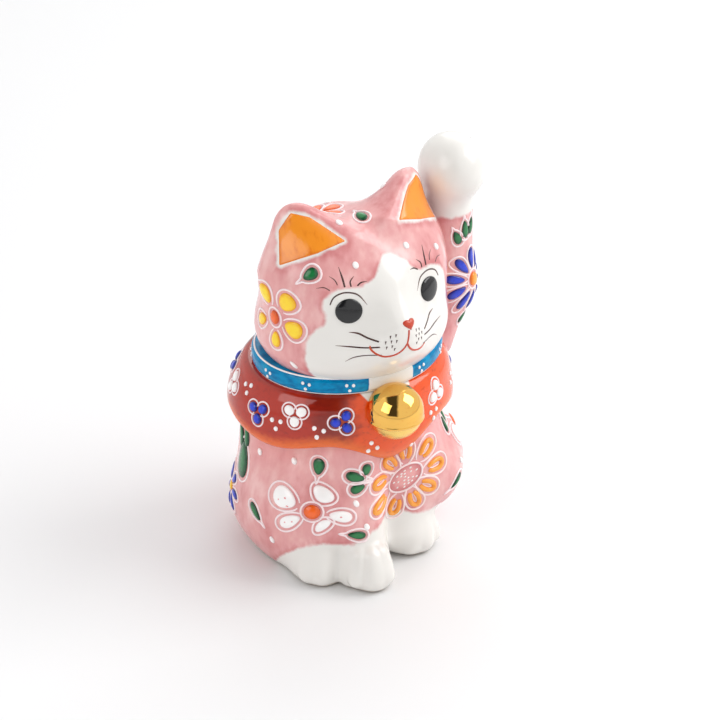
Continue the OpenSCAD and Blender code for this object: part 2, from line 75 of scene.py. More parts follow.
def smin(a: Array, b: Array, blend: float) -> Array:
    """The union of two fields with a rounded join.

    Args:
        a: The first field's values.
        b: The second field's values.
        blend: How wide the rounded join is.

    Returns:
        The joined field's values.
    """
    h = np.maximum(blend - np.abs(a - b), 0) / blend
    return np.minimum(a, b) - h * h * blend / 4


def smax(a: Array, b: Array, blend: float) -> Array:
    """The intersection of two fields with a rounded edge."""
    return -smin(-a, -b, blend)


def egg(p: Array, centre: Point, radii: Point) -> Array:
    """Distance to an ellipsoid, true near its surface.

    Args:
        p: Points, one a row.
        centre: The ellipsoid's middle.
        radii: Its half sizes along each axis.

    Returns:
        One distance for each point.
    """
    q = (p - np.array(centre, float)) / np.array(radii, float)
    k0 = np.linalg.norm(q, axis=-1)
    k1 = np.linalg.norm(q / np.array(radii, float), axis=-1)
    return k0 * (k0 - 1) / np.maximum(k1, TINY)


def rod(p: Array, a: Point, b: Point, ra: float, rb: float) -> Array:
    """Distance to a tapering rod with round ends.

    Args:
        p: Points, one a row.
        a: One end of its middle line.
        b: The other end.
        ra: Its radius at a.
        rb: Its radius at b.

    Returns:
        One distance for each point.
    """
    start, along = np.array(a, float), np.array(b, float) - np.array(a, float)
    t = np.clip(((p - start) @ along) / (along @ along), 0, 1)
    return np.linalg.norm(p - start - t[..., None] * along, axis=-1) - ra - (rb - ra) * t


@dataclass(frozen=True)
class Swelling:
    """An egg-shaped swelling of a casting, and how softly it runs into the rest."""

    at: Point
    radii: Point
    blend: float

    def field(self, p: Array) -> Array:
        """Distance of each point from the swelling."""
        return egg(p, self.at, self.radii)

    def join(self, f: Array, p: Array) -> Array:
        """The field f at the points p, with this form joined on."""
        return smin(f, self.field(p), self.blend)


@dataclass(frozen=True)
class Limb(Swelling):
    """A limb from at to tip, with a radius at each of them."""

    tip: Point

    def field(self, p: Array) -> Array:
        """Distance of each point from the limb."""
        return rod(p, self.at, self.tip, *self.radii)


def turn_matrix(axis: str, degrees: float) -> Array:
    """The matrix that turns points about one axis.

    Args:
        axis: One of x, y and z.
        degrees: How far it turns them.

    Returns:
        A matrix of three rows.
    """
    c, s = math.cos(math.radians(degrees)), math.sin(math.radians(degrees))
    i, j = {"x": (1, 2), "y": (2, 0), "z": (0, 1)}[axis]
    made = np.eye(3)
    made[i, i], made[j, j], made[i, j], made[j, i] = c, c, -s, s
    return made


def turned(x: Array, y: Array, degrees: float) -> Array:
    """Flat points (x, y) turned about the origin, one a row."""
    c, s = math.cos(math.radians(degrees)), math.sin(math.radians(degrees))
    return np.stack([x * c - y * s, x * s + y * c], -1)


def direction(lon: Array, lat: Array) -> Array:
    """Unit vectors by longitude from the front, towards the cat's left, and latitude, in degrees."""
    lon, lat = np.radians(lon), np.radians(lat)
    return np.stack([np.sin(lon) * np.cos(lat), -np.cos(lon) * np.cos(lat), np.sin(lat)], -1)


def rounded(corners: Pairs, rounds: int = 3) -> Array:
    """A closed outline with its corners cut again and again until it is smooth.

    Args:
        corners: The outline's corners in order.
        rounds: How often the corners are cut.

    Returns:
        The points of the smooth outline.
    """
    points = np.array(corners, float)
    for _ in range(rounds):
        after = np.roll(points, -1, 0)
        points = np.stack([0.75 * points + 0.25 * after, 0.25 * points + 0.75 * after], 1).reshape(-1, 2)
    return points


def depth_in(points: Array, outline: Array) -> Array:
    """How far flat points lie inside a closed outline, below zero outside it.

    Args:
        points: Points, one a row.
        outline: The outline's corners in order.

    Returns:
        One signed distance for each point, in the outline's own units.
    """
    a, b = outline, np.roll(outline, -1, 0)
    edge = b - a
    away = points[:, None] - a[None]
    t = np.clip((away * edge).sum(-1) / (edge * edge).sum(-1), 0, 1)
    near = np.linalg.norm(away - t[..., None] * edge, axis=-1).min(1)
    x, y = points[:, :1], points[:, 1:]
    rise = np.where(edge[:, 1] == 0, TINY, edge[:, 1])
    crossed = ((a[:, 1] > y) != (b[:, 1] > y)) & (x < edge[:, 0] * (y - a[:, 1]) / rise + a[:, 0])
    return np.where(crossed.sum(1) % 2 == 1, near, -near)


def ease(value: Array, low: float, high: float) -> Array:
    """Rises smoothly from 0 at low to 1 at high."""
    t = np.clip((value - low) / (high - low), 0, 1)
    return t * t * (3 - 2 * t)


# ---- Surfaces and places on them ----


@dataclass(frozen=True)
class Spot:
    """A place on a skin, with the directions that lie flat on it there."""

    skin: "Skin"
    point: Array
    normal: Array
    side: Array
    up: Array

    def lay(self, flat: Array, steps: int = 8) -> Array:
        """Drops flat points onto the skin round this place.

        Args:
            flat: Offsets (sideways, up) from the place, one a row.
            steps: How many steps each takes towards the skin.

        Returns:
            The points of the skin below them.
        """
        flat = np.atleast_2d(np.array(flat, float))
        points = self.point + flat[:, :1] * self.side + flat[:, 1:] * self.up
        for _ in range(steps):
            points = points - self.normal * self.skin.field(points)[:, None]
        return points

    def flat(self, points: Array) -> Array:
        """The offsets (sideways, up) of points from this place, one a row."""
        return np.stack([(points - self.point) @ self.side, (points - self.point) @ self.up], -1)

    def polar(self, radius: float, degrees: float) -> "Spot":
        """The place at that radius and angle, measured from sideways towards up."""
        a = math.radians(degrees)
        return self.skin.spot(self.lay([(radius * math.cos(a), radius * math.sin(a))])[0])


@dataclass
class Skin:
    """A closed surface given by a field, with a middle and an upright axis to find places by."""

    field: Field
    middle: Point
    axis: Point
    step: float = 0.05
    flattest: float = 0.05

    def slope(self, points: Array) -> Array:
        """How fast the field rises along X, Y and Z at each point."""
        ways = self.step * np.eye(3)
        return np.stack([self.field(points + w) - self.field(points - w) for w in ways], -1) / (2 * self.step)

    def normals(self, points: Array) -> Array:
        """Outward unit normals at points on the skin."""
        slope = self.slope(points)
        return slope / np.maximum(np.linalg.norm(slope, axis=-1, keepdims=True), TINY)

    def settle(self, points: Array, limit: float, steps: int = 5) -> Array:
        """Moves points onto the skin.

        Args:
            points: Points near the skin, one a row.
            limit: The furthest that a point may move at each step.
            steps: How many steps there are.

        Returns:
            The moved points.
        """
        for _ in range(steps):
            slope = self.slope(points)
            steep = np.maximum((slope**2).sum(-1), self.flattest)
            move = self.field(points)[:, None] * slope / steep[:, None]
            length = np.linalg.norm(move, axis=-1, keepdims=True)
            points = points - move * np.minimum(1, limit / np.maximum(length, TINY))
        return points

    def reach(self, origin: Array, way: Array, afar: float = 50.0, strides: int = 60) -> Array:
        """The first points of the skin met when coming in from afar.

        Args:
            origin: The point that is walked towards, or one for each way.
            way: Unit vectors out of the origin, one a row.
            afar: How far from the origin the walk starts.
            strides: How many strides it takes.

        Returns:
            The points met.
        """
        t = np.full(len(way), afar)
        for _ in range(strides):
            t = t - 0.8 * self.field(origin + way * t[:, None])
        return origin + way * t[:, None]

    def toward(self, places: Pairs) -> Array:
        """Points of the skin by (longitude, latitude) about its middle."""
        at = np.array(places, float)
        return self.reach(np.array(self.middle, float), direction(at[:, 0], at[:, 1]))

    def around(self, places: Pairs) -> Array:
        """Points of the skin by azimuth and height.

        Args:
            places: Each place's (azimuth, height), from the front towards the cat's left.

        Returns:
            The points, one a row.
        """
        at = np.array(places, float)
        origin = np.stack([np.full(len(at), self.axis[0]), np.full(len(at), self.axis[1]), at[:, 1]], -1)
        return self.reach(origin, direction(at[:, 0], np.zeros(len(at))))

    def spot(self, point: Array) -> Spot:
        """The place at a point of the skin.

        Args:
            point: A point that lies on the skin.

        Returns:
            The place, whose side direction is level.
        """
        normal = self.normals(point[None])[0]
        side = np.array([-normal[1], normal[0], 0.0])
        side /= np.linalg.norm(side)
        return Spot(self, point, normal, side, np.cross(normal, side))

    def spot_toward(self, lon: float, lat: float) -> Spot:
        """The place at a longitude and latitude."""
        return self.spot(self.toward([(lon, lat)])[0])

    def spot_around(self, azimuth: float, height: float) -> Spot:
        """The place at an azimuth and height."""
        return self.spot(self.around([(azimuth, height)])[0])


def grow(skin: Skin, low: Point, high: Point, cell: float) -> tuple[Array, Array]:
    """Meshes a skin with even quads: one point for each cell that it crosses, settled onto it.

    Args:
        skin: The surface to mesh.
        low: Lowest corner of the space that holds it.
        high: Highest corner of that space.
        cell: Size of a cell, which is about the size of a quad.

    Returns:
        The points, and the quads as rows of four point numbers, outsides out.
    """
    low = np.array(low, float)
    counts = np.ceil((np.array(high, float) - low) / cell).astype(int) + 1
    axes = [low[i] + cell * np.arange(counts[i]) for i in range(3)]
    inside = np.empty(counts, bool)
    for i, x in enumerate(axes[0]):
        sheet = np.stack(np.meshgrid([x], axes[1], axes[2], indexing="ij"), -1).reshape(-1, 3)
        inside[i] = (skin.field(sheet) < 0).reshape(counts[1], counts[2])
    n = counts - 1
    corners = sum(inside[i:n[0] + i, j:n[1] + j, k:n[2] + k].astype(np.int8)
                  for i in (0, 1) for j in (0, 1) for k in (0, 1))
    crossed = (corners > 0) & (corners < 8)
    cells = np.argwhere(crossed)
    number = -np.ones(n, int)
    number[crossed] = np.arange(len(cells))
    quads = []
    for a in range(3):
        b, c = (a + 1) % 3, (a + 2) % 3
        first = np.take(inside, range(n[a]), a)
        change = first != np.take(inside, range(1, counts[a]), a)
        at = np.argwhere(change)
        at = at[(at[:, b] > 0) & (at[:, c] > 0) & (at[:, b] < n[b]) & (at[:, c] < n[c])]
        step_b, step_c = np.eye(3, dtype=int)[b], np.eye(3, dtype=int)[c]
        ring = [number[tuple((at - s).T)] for s in (step_b + step_c, step_c, 0 * step_b, step_b)]
        quad = np.stack(ring, -1)
        outward = first[tuple(at.T)]
        quads.append(np.where(outward[:, None], quad, quad[:, ::-1]))
    faces = np.concatenate(quads)
    points = skin.settle(low + cell * (cells + 0.5), 0.8 * cell)
    edges = np.concatenate([faces[:, [i, (i + 1) % 4]] for i in range(4)])
    for _ in range(3):
        total, count = np.zeros_like(points), np.zeros(len(points))
        np.add.at(total, edges[:, 0], points[edges[:, 1]])
        np.add.at(count, edges[:, 0], 1)
        points = skin.settle(0.4 * points + 0.6 * total / np.maximum(count, 1)[:, None], 0.5 * cell, 2)
    return points, faces


# ---- Meshes and pieces ----


def new_object(name: str, points: Array, faces: Sequence[Sequence[int]],
               edges: Sequence[tuple[int, int]] = ()) -> bpy.types.Object:
    """Makes a mesh object at the origin from points in millimetres.

    Args:
        name: The object's name.
        points: Points, one a row, in millimetres.
        faces: Rows of point numbers.
        edges: Loose edges, where there are no faces.

    Returns:
        The linked object, smooth shaded.
    """
    mesh = bpy.data.meshes.new(name)
    mesh.from_pydata((np.array(points) * MM).tolist(), list(edges), [list(map(int, f)) for f in faces])
    mesh.shade_smooth()
    made = bpy.data.objects.new(name, mesh)
    bpy.context.scene.collection.objects.link(made)
    return made


def note(piece: bpy.types.Object, **values: Array) -> None:
    """Stores named values on the points of a piece's mesh.

    Args:
        piece: The piece.
        values: For each name, one number or one vector a point.
    """
    for name, array in values.items():
        kind, key = ("FLOAT_VECTOR", "vector") if np.ndim(array) == 2 else ("FLOAT", "value")
        attribute = piece.data.attributes.new(name, kind, "POINT")
        attribute.data.foreach_set(key, np.asarray(array, np.float32).ravel())


def hand_over(piece: bpy.types.Object, slot: str, *nodes: str) -> bpy.types.Object:
    """Rides a finished piece on the one body, and names the parts that it stands for.

    Args:
        piece: The finished piece.
        slot: Not used.
        nodes: The frame's parts that the piece stands for.

    Returns:
        The piece.
    """
    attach(piece, "root")
    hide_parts(*nodes)
    LOG.info("%s: %d faces for %s", piece.name, len(piece.data.polygons), ", ".join(nodes))
    return piece


# ---- Node trees ----


class Wiring:
    """A short way to write a node tree: each method adds nodes and gives back an output socket."""

    def __init__(self, tree: bpy.types.NodeTree) -> None:
        """Starts on an empty or a new tree."""
        self.tree = tree

    def node(self, kind: str, inputs: dict[Any, Any] | None = None, **settings: Any) -> bpy.types.Node:
        """Adds a node.

        Args:
            kind: The node's type name.
            inputs: Sockets, by name or number, and the value or the socket that feeds each.
            settings: The node's own settings.

        Returns:
            The node.
        """
        made = self.tree.nodes.new(kind)
        for key, value in settings.items():
            setattr(made, key, value)
        for key, value in (inputs or {}).items():
            if isinstance(value, bpy.types.NodeSocket):
                self.tree.links.new(value, made.inputs[key])
            else:
                made.inputs[key].default_value = value
        return made

    def maths(self, operation: str, a: Any, b: Any = 0.0, c: Any = 0.0) -> bpy.types.NodeSocket:
        """One sum on numbers."""
        return self.node("ShaderNodeMath", {0: a, 1: b, 2: c}, operation=operation).outputs[0]

    def vector(self, operation: str, a: Any, b: Any = (0, 0, 0)) -> bpy.types.NodeSocket:
        """One sum on vectors."""
        return self.node("ShaderNodeVectorMath", {0: a, 1: b}, operation=operation).outputs[0]

    def scaled(self, vector: Any, by: Any) -> bpy.types.NodeSocket:
        """A vector times a number."""
        return self.node("ShaderNodeVectorMath", {0: vector, "Scale": by}, operation="SCALE").outputs[0]

    def smooth(self, value: Any, low: float, high: float, to_low: float = 0.0,
               to_high: float = 1.0) -> bpy.types.NodeSocket:
        """A smooth step of a value from low to high, onto to_low to to_high."""
        inputs = {"Value": value, "From Min": low, "From Max": high, "To Min": to_low, "To Max": to_high}
        return self.node("ShaderNodeMapRange", inputs, interpolation_type="SMOOTHSTEP").outputs[0]


def tint(code: str) -> tuple[float, float, float]:
    """A linear colour from a six-figure hexadecimal screen colour."""
    parts = [int(code[i:i + 2], 16) / 255 for i in (0, 2, 4)]
    return tuple(p / 12.92 if p < 0.04045 else ((p + 0.055) / 1.055) ** 2.4 for p in parts)


class Tone(Enum):
    """The painter's colours."""

    PORCELAIN = "e9e6e1"
    BISCUIT = "a59380"
    PINK = "e3a2a1"
    PINK_DEEP = "ce7b7d"
    PINK_PALE = "efc0bd"
    BRICK = "b22a14"
    BRICK_DARK = "6c120a"
    VERMILION = "ea5210"
    HEM_ORANGE = "ea6a22"
    TURQUOISE = "038cbe"
    TURQUOISE_DEEP = "01689c"
    TURQUOISE_PALE = "2fb0d0"
    WHITE = "fbf8f6"
    LINE_WHITE = "f9e6e8"
    ORANGE = "f3801f"
    ORANGE_DEEP = "d9560d"
    DAISY_ORANGE = "f7a23c"
    DAISY_DEEP = "e8801e"
    FLAME = "f4651f"
    EAR_ORANGE = "f7952a"
    EAR_DEEP = "e0731a"
    YELLOW = "fdd01c"
    YELLOW_DEEP = "ee9f0e"
    GREEN = "0c7037"
    GREEN_DEEP = "083f24"
    BLUE = "1234c8"
    BLUE_DEEP = "0a1a80"
    BLACK = "09090c"
    BROWN = "3a1712"
    BROWN_FAINT = "8a5a4c"
    MOUTH = "c03a1c"
    GOLD = "f3bf62"
    GOLD_PALE = "fbd67c"

    @property
    def colour(self) -> tuple[float, float, float]:
        """The colour in linear light."""
        return tint(self.value)


class GlazeSheet(Wiring):
    """A material in the making, with one glossy shader."""

    def __init__(self, name: str) -> None:
        """Starts the material.

        Args:
            name: The material's name.
        """
        self.material = bpy.data.materials.new(name)
        self.material.use_nodes = True
        super().__init__(self.material.node_tree)
        self.shader = self.tree.nodes["Principled BSDF"]
        self.place = self.node("ShaderNodeTexCoord").outputs["Object"]

    def set(self, name: str, value: Any) -> None:
        """Feeds or sets one of the shader's inputs.

        Args:
            name: The input's name.
            value: A socket, a tone or the input's own kind of value.
        """
        if isinstance(value, bpy.types.NodeSocket):
            self.tree.links.new(value, self.shader.inputs[name])
        else:
            self.shader.inputs[name].default_value = value

    def gloss(self, roughness: float, coat: float = 0.0, coat_roughness: float = 0.03) -> None:
        """Sets how rough the glaze is, and how much clear coat lies over it.

        Args:
            roughness: The glaze's roughness.
            coat: The coat's weight.
            coat_roughness: The coat's own roughness.
        """
        self.set("Roughness", roughness)
        self.set("Coat Weight", coat)
        self.set("Coat Roughness", coat_roughness)

    def value(self, attribute: str) -> bpy.types.NodeSocket:
        """A number stored on the mesh."""
        return self.node("ShaderNodeAttribute", attribute_name=attribute).outputs["Fac"]

    def millimetres(self, axis: str) -> bpy.types.NodeSocket:
        """How far along the frame's X, Y or Z a point lies, in millimetres."""
        return self.maths("DIVIDE", self.node("ShaderNodeSeparateXYZ", {0: self.place}).outputs[axis], MM)

    def noise(self, size: float, detail: float = 2.0, stretch: Point = (1, 1, 1),
              shift: float = 0.0) -> bpy.types.NodeSocket:
        """Noise from 0 to 1 with features of that size in millimetres.

        Args:
            size: Size of a feature.
            detail: How many finer layers it has.
            stretch: How much longer a feature is along X, Y and Z.
            shift: Moves the pattern, so that two patterns differ.

        Returns:
            The noise's output.
        """
        scale = [1 / (size * MM * s) for s in stretch]
        mapped = self.node("ShaderNodeMapping", {"Vector": self.place, "Location": (shift, shift, shift),
                                                 "Scale": scale})
        return self.node("ShaderNodeTexNoise", {"Vector": mapped.outputs[0], "Scale": 1.0, "Detail": detail,
                                                "Roughness": 0.55}).outputs["Fac"]

    def sway(self, noise: Any, by: float) -> bpy.types.NodeSocket:
        """Noise moved to swing about zero, and spread over a distance."""
        return self.maths("MULTIPLY", self.maths("SUBTRACT", noise, 0.5), by)

    def mix(self, factor: Any, a: Any, b: Any) -> bpy.types.NodeSocket:
        """One colour turning to another.

        Args:
            factor: How far it has turned, from 0 to 1.
            a: The first colour, as a tone, a linear colour or a socket.
            b: The second one.

        Returns:
            The mixed colour.
        """
        made = self.node("ShaderNodeMix", {0: factor}, data_type="RGBA")
        for index, value in ((6, a), (7, b)):
            if isinstance(value, bpy.types.NodeSocket):
                self.tree.links.new(value, made.inputs[index])
            else:
                made.inputs[index].default_value = (*getattr(value, "colour", value), 1.0)
        return made.outputs[2]

    def bump(self, height: Any, distance: float, strength: float = 1.0) -> None:
        """Adds relief of that distance in millimetres from a height of 0 to 1."""
        inputs = {"Height": height, "Distance": distance * MM, "Strength": strength}
        self.set("Normal", self.node("ShaderNodeBump", inputs).outputs[0])


# ---- Finishes ----


@dataclass(frozen=True)
class Finish:
    """A finish of the cat, and the name of a material slot that it carries."""

    name: str
    slot: str

    @cache
    def material(self) -> bpy.types.Material:
        """Makes the finish's material once, for every piece that wears it.

        Returns:
            The material.
        """
        sheet = GlazeSheet(self.name)
        self.paint(sheet)
        return sheet.material

    def paint(self, sheet: GlazeSheet) -> None:
        """Gives a new material this finish's gloss, colours and relief."""
        raise NotImplementedError


@dataclass(frozen=True)
class WashedPorcelain(Finish):
    """White porcelain under clear glaze, with an airbrushed wash where the mesh says how deep in it lies."""

    edge: float = 0.55
    streak: Point = (1.0, 1.0, 2.4)
    rim_dark: float = 0.13
    bare_foot: float = 0.95
    foot_line: float = 1.5

    def paint(self, sheet: GlazeSheet) -> None:
        """Washes pink over the white, deeper at its edge, and leaves the foot ring bare.

        Args:
            sheet: The new material.
        """
        sheet.gloss(0.15, 0.1)
        depth = sheet.value("pink")
        ragged = sheet.maths("ADD", depth, sheet.sway(sheet.noise(2.6, 3), 1.6))
        mask = sheet.smooth(ragged, -self.edge, self.edge)
        cloud = sheet.noise(7.0, 3.0, self.streak)
        fine = sheet.noise(2.2, 4.0, (1.0, 1.0, 1.8), 3.0)
        both = sheet.maths("ADD", sheet.maths("MULTIPLY", cloud, 0.7), sheet.maths("MULTIPLY", fine, 0.3))
        rim = sheet.smooth(depth, 0.2, 2.4, self.rim_dark, 0.0)
        pink = sheet.mix(sheet.smooth(sheet.maths("ADD", both, rim), 0.46, 0.74), Tone.PINK, Tone.PINK_DEEP)
        pink = sheet.mix(sheet.smooth(both, 0.30, 0.50, 1.0, 0.0), pink, Tone.PINK_PALE)
        # Biscuit brown in full below bare_foot, and at half strength up to foot_line: darker towards the floor.
        up = sheet.millimetres("Z")
        bare = sheet.smooth(up, 0.5, self.bare_foot, 1.0, 0.0)
        line = sheet.smooth(up, 0.8, self.foot_line, 0.5, 0.0)
        glaze = sheet.mix(line, sheet.mix(mask, Tone.PORCELAIN, pink), Tone.BISCUIT)
        sheet.set("Base Color", sheet.mix(bare, glaze, Tone.BISCUIT))
        wavy = sheet.smooth(sheet.noise(3.0, 2, shift=7.0), 0.3, 0.7, 0.14, 0.22)
        sheet.set("Roughness", sheet.maths("ADD", sheet.maths("MULTIPLY", bare, 0.55), wavy))
        sheet.bump(sheet.noise(5.0, 2.0, shift=11.0), 0.05, 0.8)


@dataclass(frozen=True)
class Enamel(Finish):
    """Glassy raised enamel: deeper where it pools at the rim, with fine bubbles and a wavy gloss."""

    tone: Tone
    deep: Tone
    pool: float = 0.62
    roughness: float = 0.16

    def paint(self, sheet: GlazeSheet) -> None:
        """Mixes the tone with its deeper one in patches and at the rim, a little lighter on some drops.

        Args:
            sheet: The new material.
        """
        sheet.gloss(self.roughness, 0.15)
        rim = sheet.maths("ADD", sheet.value("rim"), sheet.maths("MULTIPLY", sheet.noise(1.1, 3), 0.45))
        pooled = sheet.smooth(rim, self.pool, self.pool + 0.62)
        patches = sheet.smooth(sheet.noise(0.9, 3, shift=5.0), 0.52, 0.72, 0.0, 0.35)
        body = sheet.mix(patches, self.tone, self.deep)
        lighter = tuple(min(1.0, 1.25 * c + 0.02) for c in self.tone.colour)
        body = sheet.mix(sheet.maths("MULTIPLY", sheet.value("each"), 0.5), body, lighter)
        sheet.set("Base Color", sheet.mix(pooled, body, self.deep))
        sheet.bump(sheet.noise(0.8, 2, shift=2.0), 0.05, 0.6)


@dataclass(frozen=True)
class BrushLine(Finish):
    """A painted stroke that thins out where the brush lifts."""

    tone: Tone
    faint: Tone

    def paint(self, sheet: GlazeSheet) -> None:
        """Fades the stroke in dry patches and towards its end.

        Args:
            sheet: The new material.
        """
        sheet.gloss(0.3, 0.3)
        dry = sheet.smooth(sheet.noise(0.6, 3), 0.50, 0.78, 0.0, 0.6)
        end = sheet.smooth(sheet.value("along"), 0.55, 1.0, 0.0, 0.45)
        sheet.set("Base Color", sheet.mix(sheet.maths("MAXIMUM", dry, end), self.tone, self.faint))
        sheet.bump(sheet.noise(0.5, 2), 0.02, 0.5)


@dataclass(frozen=True)
class BibGlaze(Finish):
    """Iron-red enamel, brick on the cat's right and vermilion on its left, thin and orange at the hem."""

    name: str = "bib_iron_red"
    slot: str = "red_glaze"
    change: tuple[float, float] = (-19.0, -7.0)
    dark_streak: float = -15.5
    cloud_swing: float = 14.0

    def paint(self, sheet: GlazeSheet) -> None:
        """Runs the reds across the bib, then lays on the orange hem and the white left by the bell.

        Args:
            sheet: The new material.
        """
        sheet.gloss(0.08, 0.15)
        across = sheet.millimetres("X")
        swing = sheet.sway(sheet.noise(9.0, 3.0, (1.0, 1.0, 0.6)), self.cloud_swing)
        fine = sheet.noise(1.6, 4.0, (1.0, 1.0, 0.6), 4.0)
        turning = sheet.smooth(sheet.maths("ADD", across, swing), *self.change)
        red = sheet.mix(turning, Tone.BRICK, Tone.VERMILION)
        off_streak = sheet.maths("ADD", sheet.maths("ADD", across, -self.dark_streak), swing)
        zone = sheet.maths("ABSOLUTE", off_streak)
        red = sheet.mix(sheet.smooth(zone, 1.0, 6.0, 0.75, 0.0), red, Tone.BRICK_DARK)
        red = sheet.mix(sheet.smooth(fine, 0.5, 0.8, 0.0, 0.4), red, Tone.BRICK_DARK)
        above_hem = sheet.maths("ADD", sheet.value("hem"), sheet.sway(fine, 1.6))
        red = sheet.mix(sheet.smooth(above_hem, 1.6, 5.0, 0.95, 0.0), red, Tone.HEM_ORANGE)
        bare = sheet.smooth(sheet.value("reserve"), -0.25, 0.25)
        sheet.set("Base Color", sheet.mix(bare, red, Tone.PORCELAIN))
        sheet.bump(sheet.noise(4.0, 2.0, shift=9.0), 0.06, 0.8)


@dataclass(frozen=True)
class CollarGlaze(Finish):
    """A turquoise band with round ends on white porcelain; the mesh says how deep in the band a point is."""

    name: str = "collar_turquoise"
    slot: str = "turquoise_glaze"

    def paint(self, sheet: GlazeSheet) -> None:
        """Brushes two blues and a paler one along the band, deeper at its edge.

        Args:
            sheet: The new material.
        """
        sheet.gloss(0.08)
        sheet.set("Specular IOR Level", 0.15)
        depth = sheet.value("band")
        mask = sheet.smooth(sheet.maths("ADD", depth, sheet.sway(sheet.noise(1.5, 2), 0.3)), -0.08, 0.12)
        brushed = sheet.noise(2.6, 4.0, (1.0, 1.0, 0.35))
        blue = sheet.mix(sheet.smooth(brushed, 0.35, 0.72), Tone.TURQUOISE, Tone.TURQUOISE_DEEP)
        pale = sheet.smooth(sheet.noise(5.0, 2, shift=6.0), 0.5, 0.75, 0.0, 0.5)
        blue = sheet.mix(pale, blue, Tone.TURQUOISE_PALE)
        blue = sheet.mix(sheet.smooth(depth, 0.0, 0.55, 0.55, 0.0), blue, Tone.TURQUOISE_DEEP)
        sheet.set("Base Color", sheet.mix(mask, Tone.PORCELAIN, blue))
        sheet.bump(sheet.noise(3.0, 2.0, shift=9.0), 0.05, 0.8)


@dataclass(frozen=True)
class EarWash(Finish):
    """Translucent orange brushed into the hollow of an ear, darker along its foot and edges."""

    name: str = "ear_wash"
    slot: str = "orange_enamel"

    def paint(self, sheet: GlazeSheet) -> None:
        """Lays the wash, then its darker edge and foot.

        Args:
            sheet: The new material.
        """
        sheet.gloss(0.12, 0.15)
        brushed = sheet.noise(2.4, 4.0, (0.5, 1.0, 1.6))
        wash = sheet.mix(sheet.smooth(brushed, 0.5, 0.9), Tone.EAR_ORANGE, Tone.EAR_DEEP)
        rim = sheet.maths("ADD", sheet.value("rim"), sheet.maths("MULTIPLY", brushed, 0.25))
        wash = sheet.mix(sheet.smooth(rim, 0.95, 1.2, 0.0, 0.8), wash, Tone.EAR_DEEP)
        foot = sheet.smooth(sheet.maths("ADD", sheet.value("foot"), brushed), 1.1, 1.6, 0.0, 0.55)
        sheet.set("Base Color", sheet.mix(foot, wash, Tone.EAR_DEEP))
        sheet.bump(brushed, 0.05, 0.6)


@dataclass(frozen=True)
class Gilding(Finish):
    """Fired liquid gold: mirror bright over the top, brushed and paler under the seam."""

    name: str = "gilding"
    slot: str = "gold_lustre"
    seam_height: float = 45.0

    def paint(self, sheet: GlazeSheet) -> None:
        """Wears the gold a little, and dulls it below the seam.

        Args:
            sheet: The new material.
        """
        sheet.gloss(0.08)
        sheet.set("Metallic", 1.0)
        below = sheet.smooth(sheet.millimetres("Z"), self.seam_height - 0.2, self.seam_height, 1.0, 0.0)
        worn = sheet.noise(1.4, 4.0, (1.0, 1.0, 0.5))
        gold = sheet.mix(below, Tone.GOLD, Tone.GOLD_PALE)
        sheet.set("Base Color", sheet.mix(sheet.smooth(worn, 0.55, 0.8, 0.0, 0.35), gold, Tone.EAR_DEEP))
        sheet.set("Roughness", sheet.maths("ADD", sheet.smooth(worn, 0.3, 0.8, 0.03, 0.08),
                                           sheet.maths("MULTIPLY", below, 0.2)))
        sheet.bump(sheet.noise(2.2, 2.0), 0.05, 0.7)


@dataclass(frozen=True)
class PlainFloor(Finish):
    """The studio's pale, matt floor, which fills no slot."""

    name: str = "studio_floor"
    slot: str = ""

    def paint(self, sheet: GlazeSheet) -> None:
        """Sets one pale grey."""
        sheet.gloss(0.75)
        sheet.set("Base Color", (0.84, 0.84, 0.845, 1.0))


# ---- Enamel laid on a casting ----


@dataclass(frozen=True)
class Drop:
    """A drop of enamel: its full width, height and lift, how far it is turned, and how it tapers."""

    spot: Spot
    width: float
    height: float
    lift: float = 0.55
    turn: float = 0.0
    taper: float = 0.0


@dataclass(frozen=True)
class Trail:
    """A trailed or painted line along points of a skin; ends gives its width at each end."""

    points: Array
    width: float
    closed: bool = False
    ends: tuple[float, float] = (0.6, 0.6)
    sharpness: float = 4.0

    def halves(self) -> Array:
        """Half the line's width at each of its points.

        Returns:
            One number a point.
        """
        count = len(self.points)
        if self.closed:
            return np.full(count, self.width / 2)
        share = np.linspace(0, 1, count)
        thin = np.minimum(self.ends[0] + self.sharpness * share, self.ends[1] + self.sharpness * (1 - share))
        return self.width / 2 * np.minimum(thin, 1)


class Fineness(Enum):
    """How finely a drop is meshed: its segments and rings."""

    SPECK = (8, 6)
    DOT = (14, 8)
    PETAL = (24, 14)
    EYE = (48, 24)


def new_tree(name: str, inputs: Sequence[tuple[str, str]]) -> tuple[Wiring, dict[str, bpy.types.NodeSocket]]:
    """Starts a geometry tree with named inputs beside its geometry.

    Args:
        name: The tree's name.
        inputs: A name and a socket type for each input.

    Returns:
        The tree's wiring, and its inputs by name.
    """
    tree = bpy.data.node_groups.new(name, "GeometryNodeTree")
    tree.interface.new_socket("Geometry", in_out="INPUT", socket_type="NodeSocketGeometry")
    for label, kind in inputs:
        tree.interface.new_socket(label, in_out="INPUT", socket_type=kind)
    tree.interface.new_socket("Geometry", in_out="OUTPUT", socket_type="NodeSocketGeometry")
    wiring = Wiring(tree)
    entry = wiring.node("NodeGroupInput")
    return wiring, {socket.name: socket for socket in entry.outputs if socket.name}


def named(wiring: Wiring, name: str, kind: str = "FLOAT") -> bpy.types.NodeSocket:
    """An attribute of the geometry, by name."""
    return wiring.node("GeometryNodeInputNamedAttribute", {"Name": name}, data_type=kind).outputs["Attribute"]


def stored(wiring: Wiring, geometry: Any, name: str, value: Any, kind: str = "FLOAT",
           domain: str = "POINT") -> bpy.types.NodeSocket:
    """The geometry with one more attribute."""
    inputs = {"Geometry": geometry, "Name": name, "Value": value}
    return wiring.node("GeometryNodeStoreNamedAttribute", inputs, data_type=kind, domain=domain).outputs[0]


